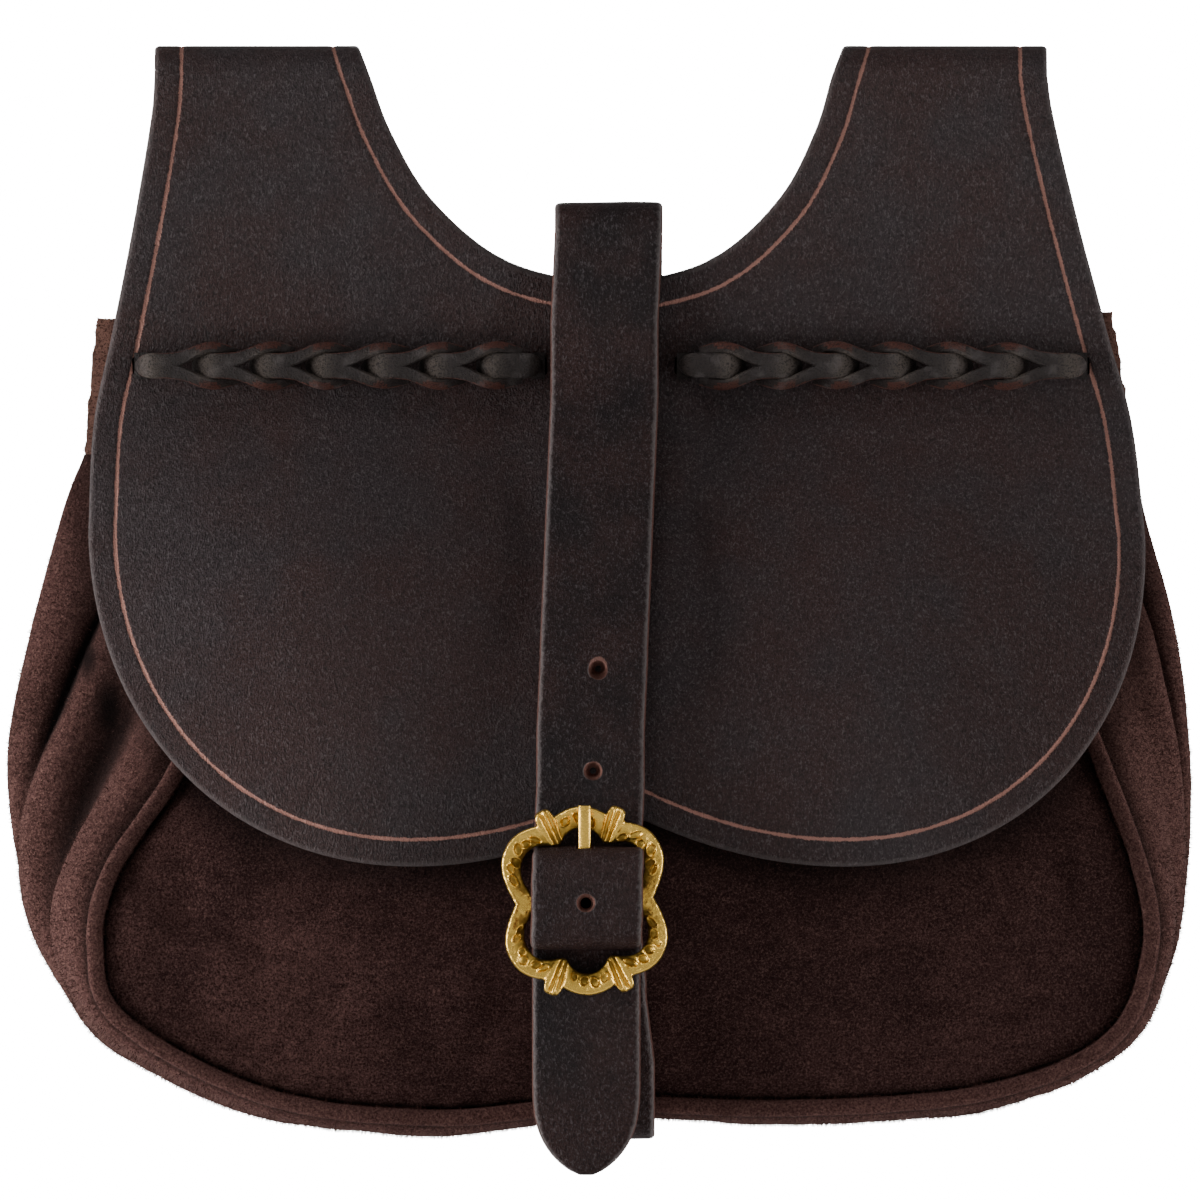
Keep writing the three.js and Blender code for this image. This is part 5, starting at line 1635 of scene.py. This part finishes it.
    def shade_bar(self, piece):
        """Marks the bar, and what is round it behind the strap, for painted shade."""
        hollow = kept(piece, "hollow")
        points = points_of(piece) / MM
        hidden = np.hypot(points[:, 0] - BUCKLE_X, points[:, 2] - BUCKLE_Z) < BAR_SHADE_RADIUS
        hollow[hidden | (-points[:, 1] < BAR_DEPTH + BAR_SHADE_STAND)] = BAR_SHADED
        piece.data.attributes["hollow"].data.foreach_set("value", hollow)


def lace_skin():
    """Depth that the braid lies on, just clear of the flap's face."""
    face = max(flap_depth(0.0, LACE_HEIGHT - drop) for drop in (0, LACE_LOW))
    return face + FLAP_THICK + LACE_STAND


def lace_strip(name, side, link, way, table):
    """One strip of a braid, from its head to where it dips under the next link."""
    along = np.linspace(table["along"][0], table["along"][-1], LACE_STEPS)
    across, half, top, roll = read_all(table, "along", "across half top roll", along[:, None])
    x = side * (LACE_OUTER - (link + along[:, None]) * LACE_PITCH) + lean(LACE_HEIGHT)
    still = np.zeros_like(along)
    places = np.stack([LACE_APART * link + along, still + way, still + side], axis=-1)
    uneven = lumps(places, LACE_SPACING, LACE_SEED)[:, None]
    free = np.clip(along[:, None] - LACE_FREE, 0, 1)
    across, roll = across + LACE_STRAY * uneven * free, roll + LACE_TWIST * uneven * free
    wide, tall = squarish(np.linspace(0, 2 * math.pi, LACE_SIDES, endpoint=False), LACE_SQUARE)
    wide, tall = wide * half, tall * LACE_THICK / 2
    cos, sin = np.cos(np.radians(roll)), np.sin(np.radians(roll))
    depth = lace_skin() + top - LACE_THICK / 2 + tall * cos - wide * sin
    z = LACE_HEIGHT + way * (across + wide * cos + tall * sin)
    return loft_piece(name, spots(x, depth, z))


class BELTBAG_OT_braid_lacings(bpy.types.Operator):
    """Braid the slit-thong lacings that close the belt loops"""

    bl_idname = "belt_bag.braid_lacings"
    bl_label = "Braid Lacings"

    def execute(self, context):
        colours = context.scene.belt_bag_colours
        face = thong("thong_face", colours, colours.thong)
        cut = thong("thong_cut", colours, colours.thong_cut)
        for side, name in ((-1, "lacing_left"), (1, "lacing_right")):
            self.braid(side, name, [face, cut])
        return {"FINISHED"}

    def braid(self, side, node, materials):
        strips = [lace_strip("thong_" + node, side, LACE_LINKS - 1, 1, LACE_LAST)]
        for link_index in range(LACE_LINKS - 1):
            for way in (1, -1):
                strip = lace_strip("leg", side, link_index, way, LACE_LEG)
                self.mark_cut_edges(strip, way)
                strips.append(strip)
        behind = read(BACK_LEAF, "z", "behind", LACE_HEIGHT) + STUB_PAST
        tip = lace_skin() - STUB_SHORT
        stub = LACE_STUB_WIDE, behind + tip, LACE_STUB_TALL
        for end in (LACE_OUTER, LACE_INNER):
            x = side * end + lean(LACE_HEIGHT)
            strips.append(box_tool(*stub, x, (tip - behind) / 2, LACE_HEIGHT))
        braid = strips[0]
        for strip in strips:
            for material in materials:
                strip.data.materials.append(material)
        combine(braid, strips[1:], "UNION")
        self.mark_heads(braid, side)
        finish_piece(braid, node, materials, smooth_degrees=45)

    def mark_cut_edges(self, strip, way):
        """Gives the outer cut side of a leg the second material."""
        for polygon in strip.data.polygons:
            if polygon.normal.z * way > 0.5 and len(polygon.vertices) == 4:
                polygon.material_index = 1

    def mark_heads(self, braid, side):
        """Marks the stretched leather on the round of each head, where its grain is paler."""
        points = points_of(braid) / MM
        along = (LACE_OUTER - side * (points[:, 0] - lean(LACE_HEIGHT))) / LACE_PITCH
        past = along - np.rint(along - HEAD_TURN)
        aside = np.abs(points[:, 2] - LACE_HEIGHT)
        raised = np.clip((-points[:, 1] - lace_skin() - HEAD_FROM) / HEAD_OVER, 0, 1)
        head = np.exp(-(((past - HEAD_AT) / HEAD_REACH) ** 2))
        keep(braid, "stretched", raised * head * np.clip(HEAD_TALL - aside, 0, 1))


class BELTBAG_OT_set_stage(bpy.types.Operator):
    """Set the pale floor, the soft lights and the camera"""

    bl_idname = "belt_bag.set_stage"
    bl_label = "Set Stage"

    def execute(self, context):
        sizes, colours = context.scene.belt_bag_sizes, context.scene.belt_bag_colours
        deselect_all()
        bpy.ops.mesh.primitive_plane_add(size=3, location=(0, 0, -sizes.floor_drop))
        floor = context.object
        floor.name = "floor"
        paint = {"Roughness": 0.7, "Base Color": (*colours.floor, 1)}
        floor.data.materials.append(surface("pale_floor", paint)[0])
        self.light_room(context)
        self.place_camera(context)
        return {"FINISHED"}

    def light_room(self, context):
        """A dim room that shows white, a strong light at the left, and weaker ones on other sides."""
        world = bpy.data.worlds.new("white_room")
        world.use_nodes = True
        context.scene.world = world
        start = Signal(world.node_tree)
        seen = start.node("ShaderNodeLightPath", output="Is Camera Ray")
        mirrored = start.node("ShaderNodeLightPath", output="Is Glossy Ray")
        room = world.node_tree.nodes["Background"]
        room.inputs["Color"].default_value = (1, 1, 1, 1)
        strength = seen * ROOM_SEEN + mirrored * ROOM_MIRRORED + ROOM_DIM
        world.node_tree.links.new(strength.socket, room.inputs["Strength"])
        for number, (x, y, z, width, height, watts) in enumerate(zip(*SOFTBOXES.values())):
            deselect_all()
            bpy.ops.object.light_add(type="AREA", location=(x, y, z))
            lamp = context.object
            lamp.name = f"softbox_{number}"
            lamp.rotation_euler = (Vector(LIGHT_AIM) - lamp.location).to_track_quat("-Z", "Y").to_euler()
            lamp.data.shape = "RECTANGLE"
            lamp.data.size, lamp.data.size_y = width, height
            lamp.data.energy = watts

    def place_camera(self, context):
        """A long lens straight in front, framed as the bag hangs."""
        place = spots(FRAME_X, CAMERA_DISTANCE, FRAME_Z) * MM
        deselect_all()
        bpy.ops.object.camera_add(location=place, rotation=(math.pi / 2, 0, 0))
        camera = context.object
        camera.data.sensor_width = SENSOR_WIDTH
        camera.data.lens = SENSOR_WIDTH * (CAMERA_DISTANCE - FRAME_DEPTH) / FRAME_WIDTH
        camera.data.clip_start, camera.data.clip_end = CLIP_START, CLIP_END
        context.scene.camera = camera


CLASSES = (
    BeltBagSizes,
    BeltBagColours,
    BELTBAG_OT_cut_flap,
    BELTBAG_OT_sew_front_panel,
    BELTBAG_OT_fold_gusset,
    BELTBAG_OT_sew_back_panel,
    BELTBAG_OT_cover_piping,
    BELTBAG_OT_buckle_strap,
    BELTBAG_OT_cast_buckle,
    BELTBAG_OT_braid_lacings,
    BELTBAG_OT_set_stage,
)
OPERATORS = [made for made in CLASSES if issubclass(made, bpy.types.Operator)]


class BELTBAG_PT_workshop(bpy.types.Panel):
    """The bag's sizes, colours and making steps"""

    bl_idname = "BELTBAG_PT_workshop"
    bl_label = "Belt Bag"
    bl_space_type = "VIEW_3D"
    bl_region_type = "UI"
    bl_category = "Belt Bag"

    def draw(self, context):
        for group in (context.scene.belt_bag_sizes, context.scene.belt_bag_colours):
            for name in type(group).__annotations__:
                self.layout.prop(group, name)
        for made in OPERATORS:
            self.layout.operator(made.bl_idname)


def register():
    for made in (*CLASSES, BELTBAG_PT_workshop):
        bpy.utils.register_class(made)
    bpy.types.Scene.belt_bag_sizes = PointerProperty(type=BeltBagSizes)
    bpy.types.Scene.belt_bag_colours = PointerProperty(type=BeltBagColours)


def unregister():
    del bpy.types.Scene.belt_bag_colours
    del bpy.types.Scene.belt_bag_sizes
    for made in reversed((*CLASSES, BELTBAG_PT_workshop)):
        bpy.utils.unregister_class(made)


def main():
    register()
    bpy.ops.belt_bag.cut_flap()
    bpy.ops.belt_bag.sew_front_panel()
    bpy.ops.belt_bag.fold_gusset()
    bpy.ops.belt_bag.sew_back_panel()
    bpy.ops.belt_bag.cover_piping()
    bpy.ops.belt_bag.buckle_strap()
    bpy.ops.belt_bag.cast_buckle()
    bpy.ops.belt_bag.braid_lacings()
    bpy.ops.belt_bag.set_stage()
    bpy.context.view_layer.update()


if __name__ == "__main__":
    main()
